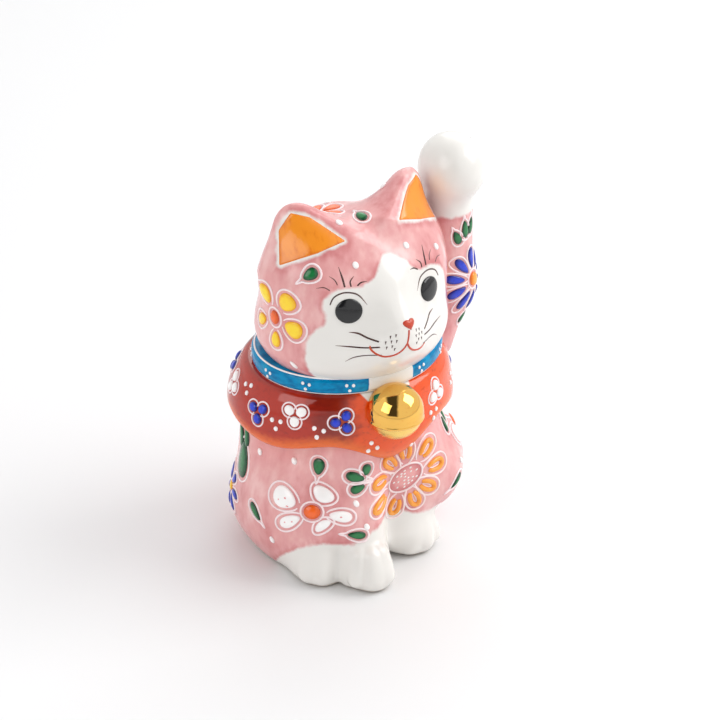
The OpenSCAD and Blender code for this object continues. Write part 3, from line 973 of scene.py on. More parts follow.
def conformed(wiring: Wiring, casting: Any, flat: Any) -> tuple[bpy.types.NodeSocket, bpy.types.NodeSocket]:
    """Finds the casting below a position.

    Args:
        wiring: The tree's wiring.
        casting: The casting's socket.
        flat: The position's socket.

    Returns:
        The nearest point of the casting, and the casting's normal there.
    """
    body = wiring.node("GeometryNodeObjectInfo", {"Object": casting}).outputs["Geometry"]
    near = wiring.node("GeometryNodeProximity", {0: body, "Sample Position": flat}, target_element="FACES")
    inputs = {"Mesh": body, "Value": named(wiring, "lay", "FLOAT_VECTOR"), "Sample Position": flat}
    lay = wiring.node("GeometryNodeSampleNearestSurface", inputs, data_type="FLOAT_VECTOR")
    return near.outputs["Position"], wiring.vector("NORMALIZE", lay.outputs["Value"])


def finish_tree(wiring: Wiring, geometry: Any, enamel: Any) -> bpy.types.NodeTree:
    """Closes a tree: smooth shading, real instances and one material.

    Args:
        wiring: The tree's wiring.
        geometry: The finished geometry.
        enamel: The material's socket.

    Returns:
        The finished tree.
    """
    smooth = wiring.node("GeometryNodeSetShadeSmooth", {"Geometry": geometry}).outputs[0]
    real = wiring.node("GeometryNodeRealizeInstances", {"Geometry": smooth}).outputs[0]
    coloured = wiring.node("GeometryNodeSetMaterial", {"Geometry": real, "Material": enamel}).outputs[0]
    wiring.node("NodeGroupOutput", {0: coloured})
    return wiring.tree


def drop_tree() -> bpy.types.NodeTree:
    """Lays one domed drop at each point of the mesh, moulded to the casting below it.

    Returns:
        The tree.
    """
    wiring, given = new_tree("laid_drops", [("Casting", "NodeSocketObject"), ("Segments", "NodeSocketInt"),
                                            ("Rings", "NodeSocketInt"), ("Sunk", "NodeSocketFloat"),
                                            ("Enamel", "NodeSocketMaterial")])
    sizes = {0: given["Segments"], 1: given["Rings"], 2: 1.0}
    ball = wiring.node("GeometryNodeMeshUVSphere", sizes).outputs[0]
    here = wiring.node("GeometryNodeInputPosition").outputs[0]
    ball = stored(wiring, ball, "unit", here, "FLOAT_VECTOR")
    placed = wiring.node("GeometryNodeInstanceOnPoints", {"Points": given["Geometry"],
                                                          "Instance": ball}).outputs[0]
    chance = wiring.node("FunctionNodeRandomValue", {"Seed": DROP_SEED}).outputs[1]
    placed = stored(wiring, placed, "each", chance, domain="INSTANCE")
    real = wiring.node("GeometryNodeRealizeInstances", {"Geometry": placed}).outputs[0]
    unit = wiring.node("ShaderNodeSeparateXYZ", {0: named(wiring, "unit", "FLOAT_VECTOR")}).outputs
    size = wiring.node("ShaderNodeSeparateXYZ", {0: named(wiring, "size", "FLOAT_VECTOR")}).outputs
    slim = wiring.maths("SUBTRACT", 1.0, wiring.maths("MULTIPLY", named(wiring, "taper"), unit[1]))
    across = wiring.maths("MULTIPLY", wiring.maths("MULTIPLY", unit[0], size[0]), slim)
    along = wiring.maths("MULTIPLY", unit[1], size[1])
    flat = wiring.node("ShaderNodeCombineXYZ", {0: across, 1: along}).outputs[0]
    turned = wiring.node("ShaderNodeVectorRotate", {"Vector": flat, "Angle": named(wiring, "turn")},
                         rotation_type="Z_AXIS").outputs[0]
    part = wiring.node("ShaderNodeSeparateXYZ", {0: turned}).outputs
    offset = wiring.vector("ADD", wiring.scaled(named(wiring, "side", "FLOAT_VECTOR"), part[0]),
                           wiring.scaled(named(wiring, "up", "FLOAT_VECTOR"), part[1]))
    ground, lay = conformed(wiring, given["Casting"],
                            wiring.vector("ADD", named(wiring, "at", "FLOAT_VECTOR"), offset))
    dome = wiring.maths("POWER", wiring.maths("MAXIMUM", unit[2], 0.0), 0.75)
    domed = wiring.maths("MULTIPLY", dome, size[2])
    sunk = wiring.maths("MULTIPLY", wiring.maths("MINIMUM", unit[2], 0.0), given["Sunk"])
    spot = wiring.vector("ADD", ground, wiring.scaled(lay, wiring.maths("ADD", domed, sunk)))
    shaped = wiring.node("GeometryNodeSetPosition", {"Geometry": real, "Position": spot}).outputs[0]
    radius = wiring.maths("SQRT", wiring.maths("ADD", wiring.maths("MULTIPLY", unit[0], unit[0]),
                                               wiring.maths("MULTIPLY", unit[1], unit[1])))
    shaped = stored(wiring, shaped, "rim", radius)
    return finish_tree(wiring, shaped, given["Enamel"])


def trail_tree() -> bpy.types.NodeTree:
    """Turns each run of edges into a round line that follows the casting below it.

    Returns:
        The tree.
    """
    wiring, given = new_tree("trailed_lines", [("Casting", "NodeSocketObject"), ("Step", "NodeSocketFloat"),
                                               ("Raise", "NodeSocketFloat"), ("Enamel", "NodeSocketMaterial")])
    curve = wiring.node("GeometryNodeMeshToCurve", {0: given["Geometry"]}).outputs[0]
    curve = wiring.node("GeometryNodeCurveSplineType", {0: curve}, spline_type="CATMULL_ROM").outputs[0]
    curve = wiring.node("GeometryNodeResampleCurve", {"Curve": curve, "Length": given["Step"]},
                        mode="LENGTH").outputs[0]
    here = wiring.node("GeometryNodeInputPosition").outputs[0]
    ground, lay = conformed(wiring, given["Casting"], here)
    half = named(wiring, "half")
    lift = wiring.scaled(lay, wiring.maths("MULTIPLY", half, given["Raise"]))
    raised = wiring.vector("ADD", ground, lift)
    curve = wiring.node("GeometryNodeSetPosition", {"Geometry": curve, "Position": raised}).outputs[0]
    share = wiring.node("GeometryNodeSplineParameter").outputs["Factor"]
    curve = stored(wiring, curve, "along", share)
    profile = wiring.node("GeometryNodeCurvePrimitiveCircle", {"Resolution": 10, "Radius": 1.0}).outputs[0]
    line = wiring.node("GeometryNodeCurveToMesh", {"Curve": curve, "Profile Curve": profile, "Scale": half,
                                                   "Fill Caps": True}).outputs[0]
    return finish_tree(wiring, line, given["Enamel"])


@dataclass
class Brush:
    """Lays enamel on castings with the two geometry trees."""

    drops_tree: bpy.types.NodeTree = field(default_factory=drop_tree)
    trails_tree: bpy.types.NodeTree = field(default_factory=trail_tree)
    sunk: float = 0.15
    step: float = 0.3

    def drops(self, name: str, casting: bpy.types.Object, drops: Sequence[Drop], finish: Finish,
              fineness: Fineness = Fineness.PETAL) -> bpy.types.Object:
        """Lays drops on a casting.

        Args:
            name: The new piece's name.
            casting: The casting below them.
            drops: The drops.
            finish: Their finish.
            fineness: How finely each is meshed.

        Returns:
            The piece, a plain mesh.
        """
        base = new_object(name, np.array([d.spot.point for d in drops]), [])
        note(base, at=np.array([d.spot.point for d in drops]) * MM,
             side=np.array([d.spot.side for d in drops]), up=np.array([d.spot.up for d in drops]),
             size=np.array([(d.width / 2, d.height / 2, d.lift) for d in drops]) * MM,
             turn=np.radians([d.turn for d in drops]), taper=np.array([d.taper for d in drops]))
        segments, rings = fineness.value
        return self.bake(base, self.drops_tree, {"Casting": casting, "Segments": segments, "Rings": rings,
                                                 "Sunk": self.sunk * MM, "Enamel": finish.material()})

    def trails(self, name: str, casting: bpy.types.Object, trails: Sequence[Trail], finish: Finish,
               lift: float = 0.05) -> bpy.types.Object:
        """Lays lines on a casting.

        Args:
            name: The new piece's name.
            casting: The casting below them.
            trails: The lines.
            finish: Their finish.
            lift: How far a line's middle stands above the skin, as a share of its half width.

        Returns:
            The piece, a plain mesh.
        """
        points, edges, halves = [], [], []
        for trail in trails:
            first, count = len(points), len(trail.points)
            points.extend(trail.points)
            edges.extend((first + i, first + i + 1) for i in range(count - 1))
            if trail.closed:
                edges.append((first + count - 1, first))
            halves.extend(trail.halves())
        base = new_object(name, np.array(points), [], edges)
        note(base, half=np.array(halves) * MM)
        return self.bake(base, self.trails_tree, {"Casting": casting, "Step": self.step * MM, "Raise": lift,
                                                  "Enamel": finish.material()})

    def bake(self, base: bpy.types.Object, tree: bpy.types.NodeTree,
             inputs: dict[str, Any]) -> bpy.types.Object:
        """Runs a tree on an object and keeps the result as its plain mesh.

        Args:
            base: The object.
            tree: The tree.
            inputs: The tree's inputs, by name.

        Returns:
            The same object.
        """
        modifier = base.modifiers.new(tree.name, "NODES")
        modifier.node_group = tree
        for item in tree.interface.items_tree:
            if item.in_out == "INPUT" and item.name in inputs:
                modifier[item.identifier] = inputs[item.name]
        base.update_tag()
        graph = bpy.context.evaluated_depsgraph_get()
        mesh = bpy.data.meshes.new_from_object(base.evaluated_get(graph))
        base.modifiers.remove(modifier)
        guide, base.data = base.data, mesh
        bpy.data.meshes.remove(guide)
        mesh.name = base.name
        return base


class Petal(NamedTuple):
    """A petal: the angle and reach of its middle from the flower's, and its full width and length."""

    angle: float
    reach: float
    width: float
    length: float


def even_petals(count: int, phase: float, reach: float, width: float, length: float) -> list[Petal]:
    """Petals that stand evenly round a flower, the first at the angle phase."""
    return [Petal(phase + 360 * i / count, reach, width, length) for i in range(count)]


def facing_out(centre: Spot, petal: Petal) -> float:
    """How far a petal is turned on its own place to point away from the flower's middle.

    Args:
        centre: The flower's middle.
        petal: The petal.

    Returns:
        The turn, in degrees.
    """
    there = centre.polar(petal.reach, petal.angle)
    way = there.point - centre.point
    return math.degrees(math.atan2(way @ there.up, way @ there.side)) - 90


def flower(centre: Spot, petals: Sequence[Petal], lift: float = 0.55, taper: float = -0.25) -> list[Drop]:
    """Lays the petals of a flower.

    Args:
        centre: The flower's middle.
        petals: Its petals.
        lift: How far they stand up.
        taper: How much wider each is at its outer end, below zero.

    Returns:
        One drop a petal.
    """
    return [Drop(centre.polar(one.reach, one.angle), one.width, one.length, lift, facing_out(centre, one),
                 taper) for one in petals]


def trio(middle: Spot, reach: float, turn: float, width: float, height: float, lift: float) -> list[Drop]:
    """Three dots that reach out from a middle, the first of them at the angle turn."""
    return [Drop(middle.polar(reach, turn + 120 * k), width, height, lift) for k in range(3)]


def petal_loop(centre: Spot, petal: Petal, gap: float, width: float, taper: float = 0.25,
               opening: float = 50.0) -> Trail:
    """The white line round one petal, open towards the flower's middle.

    Args:
        centre: The flower's middle.
        petal: The petal.
        gap: How far the line runs outside the petal.
        width: The line's width.
        taper: How much wider the petal is at its outer end.
        opening: Half the angle left open on the inner side, in degrees.

    Returns:
        The line.
    """
    steps = 22
    turns = np.radians(np.linspace(opening - 90, 270 - opening, steps))
    x = (petal.width / 2 + gap) * np.cos(turns) * (1 + taper * np.sin(turns))
    y = petal.reach + (petal.length / 2 + gap) * np.sin(turns)
    return Trail(centre.lay(turned(x, y, petal.angle - 90)), width, closed=opening <= 0)


def ring_trail(centre: Spot, wide: float, high: float, width: float, turn: float = 0.0) -> Trail:
    """A closed line round a place.

    Args:
        centre: The place.
        wide: The ring's full width.
        high: Its full height.
        width: The line's width.
        turn: How far the ring is turned, in degrees.

    Returns:
        The line.
    """
    turns = np.radians(np.arange(0, 360, 15))
    flat = turned(wide / 2 * np.cos(turns), high / 2 * np.sin(turns), turn)
    return Trail(centre.lay(flat), width, closed=True)


def leaf_loop(leaf: Drop, gap: float, width: float, tail: float = 1.5) -> Trail:
    """The white line round a leaf, drawn out to a point beyond its narrow end.

    Args:
        leaf: The leaf.
        gap: How far the line runs outside it.
        width: The line's width.
        tail: How far the point is drawn out.

    Returns:
        The line.
    """
    turns = np.radians(np.linspace(90, 450, 21)[:-1])
    x = (leaf.width / 2 + gap) * np.cos(turns) * (1 - leaf.taper * np.sin(turns))
    y = (leaf.height / 2 + gap) * np.sin(turns)
    at_tip = np.sin(turns) > 0.96
    return Trail(leaf.spot.lay(turned(x, np.where(at_tip, y + tail, y), leaf.turn)), width, closed=True)


def patch(name: str, centre: Spot, outline: Array, lift: float, rings: int = 14,
          sunk: float = 0.12) -> bpy.types.Object:
    """A thin closed pad moulded to the skin, with any flat outline round its centre.

    Args:
        name: The piece's name.
        centre: The place under the outline's middle.
        outline: Points (sideways, up) about that place, in order.
        lift: How far the middle stands up.
        rings: How many rings of points lie between the middle and the rim.
        sunk: How far the rim is sunk in the skin.

    Returns:
        The object, with how near the rim a point is stored as rim.
    """
    count = len(outline)
    shares = np.linspace(1, 0, rings + 1)[:-1]
    flats = np.concatenate([outline * s for s in shares])
    share = np.concatenate([np.repeat(shares, count), [0.0]])
    ground = centre.lay(np.vstack([flats, [(0, 0)]]))
    normals = centre.skin.normals(ground)
    top = ground + normals * (lift * np.sqrt(np.maximum(1 - share**2, 0)) + 0.01)[:, None]
    under = ground[:count] - normals[:count] * sunk
    base = centre.point - centre.normal * 2 * sunk
    points = np.vstack([top, under, [base]])
    middle, low = len(top) - 1, len(top)
    faces = []
    for i in range(count):
        j = (i + 1) % count
        faces += [(r * count + i, r * count + j, (r + 1) * count + j, (r + 1) * count + i)
                  for r in range(rings - 1)]
        faces.append(((rings - 1) * count + i, (rings - 1) * count + j, middle))
        faces += [(low + i, low + j, j, i), (low + j, low + i, low + count)]
    made = new_object(name, points, faces)
    note(made, rim=np.concatenate([share, np.ones(count), [0.0]]))
    return made


class Space(NamedTuple):
    """The space that a casting is grown in, and the size of the cells that it is cut into."""

    low: Point
    high: Point
    cell: float


def cast(name: str, skin: Skin, space: Space, finish: Finish, node: str, **values: Field) -> bpy.types.Object:
    """Meshes a skin as a casting, with its normals and its painted areas stored on the mesh.

    Args:
        name: The piece's name.
        skin: Its surface.
        space: The space that holds it.
        finish: Its finish.
        node: The frame's part that it stands for.
        values: For each stored value, a function of the points.

    Returns:
        The piece, handed over.
    """
    points, faces = grow(skin, *space)
    made = new_object(name, points, faces)
    note(made, lay=skin.normals(points), **{key: work(points) for key, work in values.items()})
    made.data.materials.append(finish.material())
    return hand_over(made, finish.slot, node)


@dataclass
class Painted:
    """A casting that enamel is laid on."""

    brush: Brush

    def lay(self, name: str, drops: Sequence[Drop], finish: Finish, node: str,
            fineness: Fineness = Fineness.PETAL) -> None:
        """Lays drops on the casting, as a piece that stands for a part of the frame."""
        hand_over(self.brush.drops(name, self.casting, drops, finish, fineness), finish.slot, node)

    def trail(self, name: str, trails: Sequence[Trail], finish: Finish, node: str = "petal_outlines",
              lift: float = 0.05) -> None:
        """Trails lines on the casting, as a piece that stands for a part of the frame."""
        hand_over(self.brush.trails(name, self.casting, trails, finish, lift), finish.slot, node)


# ---- Shared finishes ----

WHITE_ENAMEL = Enamel("white_enamel", "white_enamel", Tone.WHITE, Tone.LINE_WHITE, 0.9)
OUTLINE = Enamel("outline_enamel", "white_enamel", Tone.LINE_WHITE, Tone.LINE_WHITE, 0.9, 0.22)
ORANGE = Enamel("orange_enamel", "orange_enamel", Tone.FLAME, Tone.ORANGE_DEEP)
DAISY_ORANGE = Enamel("daisy_orange_enamel", "orange_enamel", Tone.DAISY_ORANGE, Tone.DAISY_DEEP)
YELLOW = Enamel("yellow_enamel", "yellow_enamel", Tone.YELLOW, Tone.YELLOW_DEEP, 0.75)
AMBER = Enamel("amber_enamel", "yellow_enamel", Tone.DAISY_ORANGE, Tone.ORANGE)
GREEN = Enamel("green_enamel", "green_enamel", Tone.GREEN, Tone.GREEN_DEEP)
BLUE = Enamel("blue_enamel", "blue_enamel", Tone.BLUE, Tone.BLUE_DEEP)
PINK_WASH = Enamel("pink_wash", "pink_enamel", Tone.PINK, Tone.PINK_DEEP)
EYE_BLACK = Enamel("eye_black", "black_enamel", Tone.BLACK, Tone.BLACK, 0.9, 0.06)
BROWN_LINE = BrushLine("brown_line", "brown_line", Tone.BROWN, Tone.BROWN_FAINT)
RED_LINE = BrushLine("red_line", "red_line", Tone.MOUTH, Tone.ORANGE_DEEP)
SIDES = ((-1, "right"), (1, "left"))


# ---- The head ----


@dataclass
class Head(Painted):
    """The head casting with its ears, and the face and flowers painted on it."""

    middle: Point = (0.0, -3.8, 68.0)
    radii: Point = (22.8, 20.5, 19.5)
    neck: float = 54.0
    cheeks: Swelling = Swelling((0, -3.2, 61), (23.3, 21.1, 11.5), 6)
    muzzle: Swelling = Swelling((0, -20.8, 65.5), (8.6, 7.5, 6), 5)
    bridge: Limb = Limb((0, -18.8, 76), (3.5, 2.4), 6, (0, -25.3, 70))
    forehead: Swelling = Swelling((0, -8.3, 77), (15, 11, 11), 6)
    crown: Swelling = Swelling((0, 3.5, 76), (14, 13, 12), 6)
    ear_foot: Swelling = Swelling((12.5, -5.3, 77.5), (9.5, 10.5, 9), 8)
    right_ear_root: Point = (-13.8, -7.4, 84.8)
    left_ear_root: Point = (12.4, -7.4, 86.6)
    ear_length: float = 14.5
    ear_turn: float = 30.0
    ear_lean: float = 24.0
    ear_tilt: float = -5.0
    ear_half_width: float = 10.4
    ear_front: float = 2.4
    ear_back: float = 8.8
    line: float = 0.54
    space: Space = Space((-28, -34, 52), (28, 20, 103), 0.5)
    # The white face as (longitude, latitude), from the chin round the right cheek, brow and left cheek
    face_outline: Pairs = ((-52, -42), (-58, -28), (-59.5, -14), (-58.5, -3), (-54, 3), (-48.5, 7),
                           (-46.5, 11), (-50, 18), (-48, 24.5), (-43, 29), (-36, 31.5), (-28, 32),
                           (-19.5, 33.5), (-12, 38), (-7, 45), (0, 51), (10, 49), (20, 42), (24, 34),
                           (33, 31.5), (44, 29), (52, 22), (56, 10), (57, -6), (58, -22), (52, -42))
    # The corners of the orange in the right ear, from its inner foot round to the tip
    ear_corners: Sequence[Point] = ((-7.6, -13.9, 88.6), (-13.8, -11.6, 85.9), (-22.0, -7.6, 83.2),
                                    (-21.2, -5.6, 91.4), (-18.0, -6.0, 95.2), (-14.0, -8.2, 94.0))
    ear_white: float = 0.6
    ear_reach: float = 14.0

    def __post_init__(self) -> None:
        """Prepares the skin."""
        self.skin = Skin(self.shape, self.middle, self.middle[:2])

    def ear(self, p: Array, side: int) -> Array:
        """One ear: flat and hollowed in front, round behind.

        Args:
            p: Points, one a row.
            side: -1 for the right ear, 1 for the left one.

        Returns:
            The ear's field at the points.
        """
        root = np.array(self.right_ear_root if side < 0 else self.left_ear_root)
        upright = (turn_matrix("z", side * self.ear_turn) @ turn_matrix("y", side * self.ear_lean)
                   @ turn_matrix("x", self.ear_tilt))
        q = (p - root) @ upright
        taper = np.clip(1 - q[:, 2] / self.ear_length, 0, 1)
        wide = np.maximum(self.ear_half_width * taper + 1.6, 2)
        deep = np.maximum(np.where(q[:, 1] < 0, self.ear_front, self.ear_back) * taper + 1.4, 1.5)
        k0 = np.hypot(q[:, 0] / wide, q[:, 1] / deep)
        k1 = np.hypot(q[:, 0] / wide**2, q[:, 1] / deep**2)
        body = k0 * (k0 - 1) / np.maximum(k1, 1e-6)
        body = smax(body, q[:, 2] - self.ear_length + 1.8, 3.5)
        return smax(body, -q[:, 2] - 2.5, 4)

    def shape(self, p: Array) -> Array:
        """The head's field.

        Args:
            p: Points, one a row.

        Returns:
            The field at the points.
        """
        f = egg(p, self.middle, self.radii)
        for form in (self.cheeks, self.muzzle, self.bridge, self.forehead, self.crown):
            f = form.join(f, p)
        for side, _ in SIDES:
            f = self.ear_foot.join(f, p * (side, 1, 1))
            f = smin(f, self.ear(p, side), 7)
        return smax(f, self.neck - p[:, 2], 0.5)

    def pink_depth(self, p: Array) -> Array:
        """How deep in the pink wash a point is: outside the face, and clear of the orange in the ears.

        Args:
            p: Points of the skin, one a row.

        Returns:
            The depths, in millimetres.
        """
        q = p - np.array(self.middle)
        lon = np.degrees(np.arctan2(q[:, 0], -q[:, 1]))
        lat = np.degrees(np.arctan2(q[:, 2], np.hypot(q[:, 0], q[:, 1])))
        per_degree = math.radians(1) * self.radii[0]
        pink = -depth_in(np.stack([lon, lat], -1), rounded(self.face_outline, 2)) * per_degree
        for side, _ in SIDES:
            spot, outline = self.ear_patch(side)
            near = (np.linalg.norm(p - spot.point, axis=-1) < self.ear_reach) & (q[:, 0] * side > 0)
            clear = -depth_in(spot.flat(p[near]), outline) - self.ear_white
            pink[near] = np.minimum(pink[near], clear)
        return pink

    def ear_patch(self, side: int) -> tuple[Spot, Array]:
        """Where the orange lies in one ear.

        Args:
            side: -1 for the right ear, 1 for the left one.

        Returns:
            The place below its middle, and its outline there.
        """
        spot = self.skin.spot_toward(side * 72, 52)
        corners = np.array(self.ear_corners) * (-side, 1, 1)
        if side > 0:
            corners = corners + np.array(self.left_ear_root) - np.array(self.right_ear_root) * (-1, 1, 1)
        flat = spot.flat(corners)
        ahead = np.roll(flat, -1, 0)
        dense = np.stack([flat + (ahead - flat) * t for t in (0.0, 0.12, 0.5, 0.88)], 1).reshape(-1, 2)
        return spot, rounded(dense, 2)

    def build(self) -> None:
        """Makes the casting and everything that is painted on it."""
        wash = WashedPorcelain("head_wash", "pink_glaze")
        self.casting = cast("head_porcelain", self.skin, self.space, wash, "head_casting", pink=self.pink_depth)
        self.paint_ears()
        self.paint_eyes()
        self.paint_muzzle()
        self.paint_flowers()

    def paint_ears(self) -> None:
        """Brushes the orange into the ears."""
        finish = EarWash()
        for side, word in SIDES:
            wash = patch(f"ear_orange_{word}", *self.ear_patch(side), 0.12)
            points = np.array([v.co for v in wash.data.vertices]) / MM
            note(wash, foot=1 - ease(points[:, 2], points[:, 2].min(), points[:, 2].max()))
            wash.data.materials.append(finish.material())
            hand_over(wash, finish.slot, f"ear_wash_{word}")

    def stroke(self, places: Pairs, width: float, side: int = 1,
               ends: tuple[float, float] = (1.0, 0.25)) -> Trail:
        """A stroke through (longitude, latitude) places, mirrored where side is -1."""
        return Trail(self.skin.toward([(side * lon, lat) for lon, lat in places]), width, ends=ends)

    def paint_eyes(self) -> None:
        """Lays the eyes, and strokes the lids and the lashes above them."""
        for side, word in SIDES:
            eye = Drop(self.skin.spot_toward(side * 33, 17), 6.5, 6.0, 0.7)
            self.lay(f"eye_enamel_{word}", [eye], EYE_BLACK, f"eye_{word}", Fineness.EYE)
        lid = ((45, 20.5), (43, 25), (38, 28), (32, 28.6), (26, 26.8), (20.5, 20.5))
        lids = [self.stroke(lid, 0.42, side, (0.8, 0.2)) for side, _ in SIDES]
        self.trail("lid_strokes", lids, BROWN_LINE, "eyelid_strokes", -0.45)
        # Each lash is its width and the places that it runs through
        lashes = ((0.5, (36, 31.8), (38, 37), (41.3, 42.8)), (0.42, (31.5, 32.3), (32.2, 35.4), (29.5, 38.6)),
                  (0.42, (27, 32.8), (24, 34.8), (19.6, 35.2)), (0.28, (41, 32.6), (43, 35.2), (47, 36.8)),
                  (0.26, (45.6, 29), (49.5, 30.2), (54, 29)))
        strokes = [self.stroke(places, width, side) for side, _ in SIDES for width, *places in lashes]
        self.trail("brow_lashes", strokes, BROWN_LINE, "brow_strokes", -0.45)

    def paint_muzzle(self) -> None:
        """Paints the nose, the mouth, the whiskers and the dashes of the whisker pads."""
        turns = np.radians(np.arange(0, 360, 7.5))
        rise = 0.1 + 1.35 * np.cos(turns) - 0.42 * np.cos(2 * turns) - 0.12 * np.cos(3 * turns)
        heart = np.stack([1.75 * np.sin(turns) ** 3, rise], -1)
        nose = patch("nose_heart", self.skin.spot_toward(2.2, 7), heart, 0.35, 8)
        nose.data.materials.append(RED_LINE.material())
        note(nose, along=np.zeros(len(nose.data.vertices)))
        hand_over(nose, RED_LINE.slot, "nose")
        furrow = self.stroke([(1, 4), (0.6, 0), (0, -4)], 0.55, ends=(1.0, 0.9))
        right = [(0, -3.6), (-2.2, -7.3), (-6.3, -10.3), (-12, -11.2), (-17, -9.2), (-20, -6.4),
                 (-20.4, -4.2)]
        left = [(0, -3.6), (2.2, -7.6), (6.4, -11), (12, -12.4), (16, -10.6)]
        smile = [self.stroke(half, 0.6, ends=(0.9, 0.6)) for half in (right, left)]
        self.trail("mouth_stroke", [furrow, *smile], RED_LINE, "mouth_line", -0.35)
        # Each whisker is its width and the places that it runs through
        whiskers = ((0.5, (15.5, -1.6), (21.5, 0.2), (27, 2.6), (33, 3.2)),
                    (0.42, (15, -4.8), (23.5, -5.8), (32, -5.9), (41, -5.4)),
                    (0.32, (14, -10), (21.7, -10.6), (29.5, -12.6), (35.2, -15.6)))
        strokes = [self.stroke(places, width, side) for side, _ in SIDES for width, *places in whiskers]
        self.trail("whisker_strokes", strokes, BROWN_LINE, "whiskers", -0.4)
        dash = ((9.2, 1.0), (6.3, 1.8), (11.8, -2.3), (8.8, -1.7), (6.0, -1.6), (11.3, -5.4), (8.4, -4.7),
                (7.0, -6.6))
        dashes = [self.stroke([(lon, lat + 1.1), (lon + 0.3, lat - 0.7)], 0.44, side)
                  for side, _ in SIDES for lon, lat in dash]
        self.trail("muzzle_dashes", dashes, BROWN_LINE, "whisker_pad_dashes", -0.2)

    def paint_flowers(self) -> None:
        """Lays the cheek flowers, the crown flower, the leaves and the dots, and outlines them."""
        skin = self.skin
        cheek, other = skin.spot_toward(-81.5, 4.4), skin.spot_toward(99, 6)
        crown = skin.spot_toward(-134, 67)
        petals = [Petal(52, 6.6, 4.6, 5.0), Petal(117, 6.2, 4.4, 5.2), Petal(207, 6.2, 3.0, 4.2),
                  Petal(-14, 5.8, 4.4, 5.0), Petal(-84, 5.6, 2.8, 4.0)]
        even, crown_petals = even_petals(5, 54, 6.0, 4.4, 4.8), even_petals(6, 0, 4.4, 3.2, 4.6)
        self.lay("cheek_petals", flower(cheek, petals) + flower(other, even), YELLOW, "cheek_flower_petals")
        hearts = [Drop(cheek, 2.8, 3.6, 0.7), Drop(other, 3.2, 3.2, 0.7)]
        self.lay("cheek_hearts", hearts, ORANGE, "cheek_flower_centre")
        self.lay("crown_petals", flower(crown, crown_petals), ORANGE, "crown_flower_petals")
        self.lay("crown_heart", [Drop(crown, 2.4, 2.4, 0.6)], YELLOW, "crown_flower_centre")
        # Each leaf as (longitude, latitude, width, length, turn)
        leaf = ((-59, 35.5, 2.8, 3.8, 126), (-7, 77.5, 2.3, 4.2, 80), (-116, 20, 2.6, 4.8, 20),
                (125, 40, 2.6, 4.8, 40), (-150, 10, 2.6, 4.8, -30), (160, 6, 2.6, 4.8, 30))
        leaves = [Drop(skin.spot_toward(lon, lat), w, h, 0.55, turn, 0.3) for lon, lat, w, h, turn in leaf]
        self.lay("head_leaf_drops", leaves, GREEN, "head_leaves")
        dot = ((-28, 45), (27, 49), (53, 35), (-47, 66), (90, 72), (-120, 45), (150, 45), (-165, 28),
               (110, 28), (180, 60))
        dots = [Drop(skin.spot_toward(*at), 1.5, 1.9, 0.5, 20) for at in dot]
        dots.append(Drop(skin.spot_toward(-68, -22), 1.2, 2.6, 0.4, 40))
        self.lay("head_dot_drops", dots, WHITE_ENAMEL, "head_dots", Fineness.DOT)
        lines = [petal_loop(middle, petal, gap, self.line, opening=opening)
                 for middle, ring, gap, opening in ((cheek, petals, 0.75, 24), (other, even, 0.75, 24),
                                                    (crown, crown_petals, 0.6, 30))
                 for petal in ring]
        lines += [leaf_loop(one, 0.7, self.line) for one in leaves]
        lines += [ring_trail(cheek, 4.4, 5.2, self.line), ring_trail(other, 4.8, 4.8, self.line)]
        self.trail("head_outlines", lines, OUTLINE)


# ---- The body ----


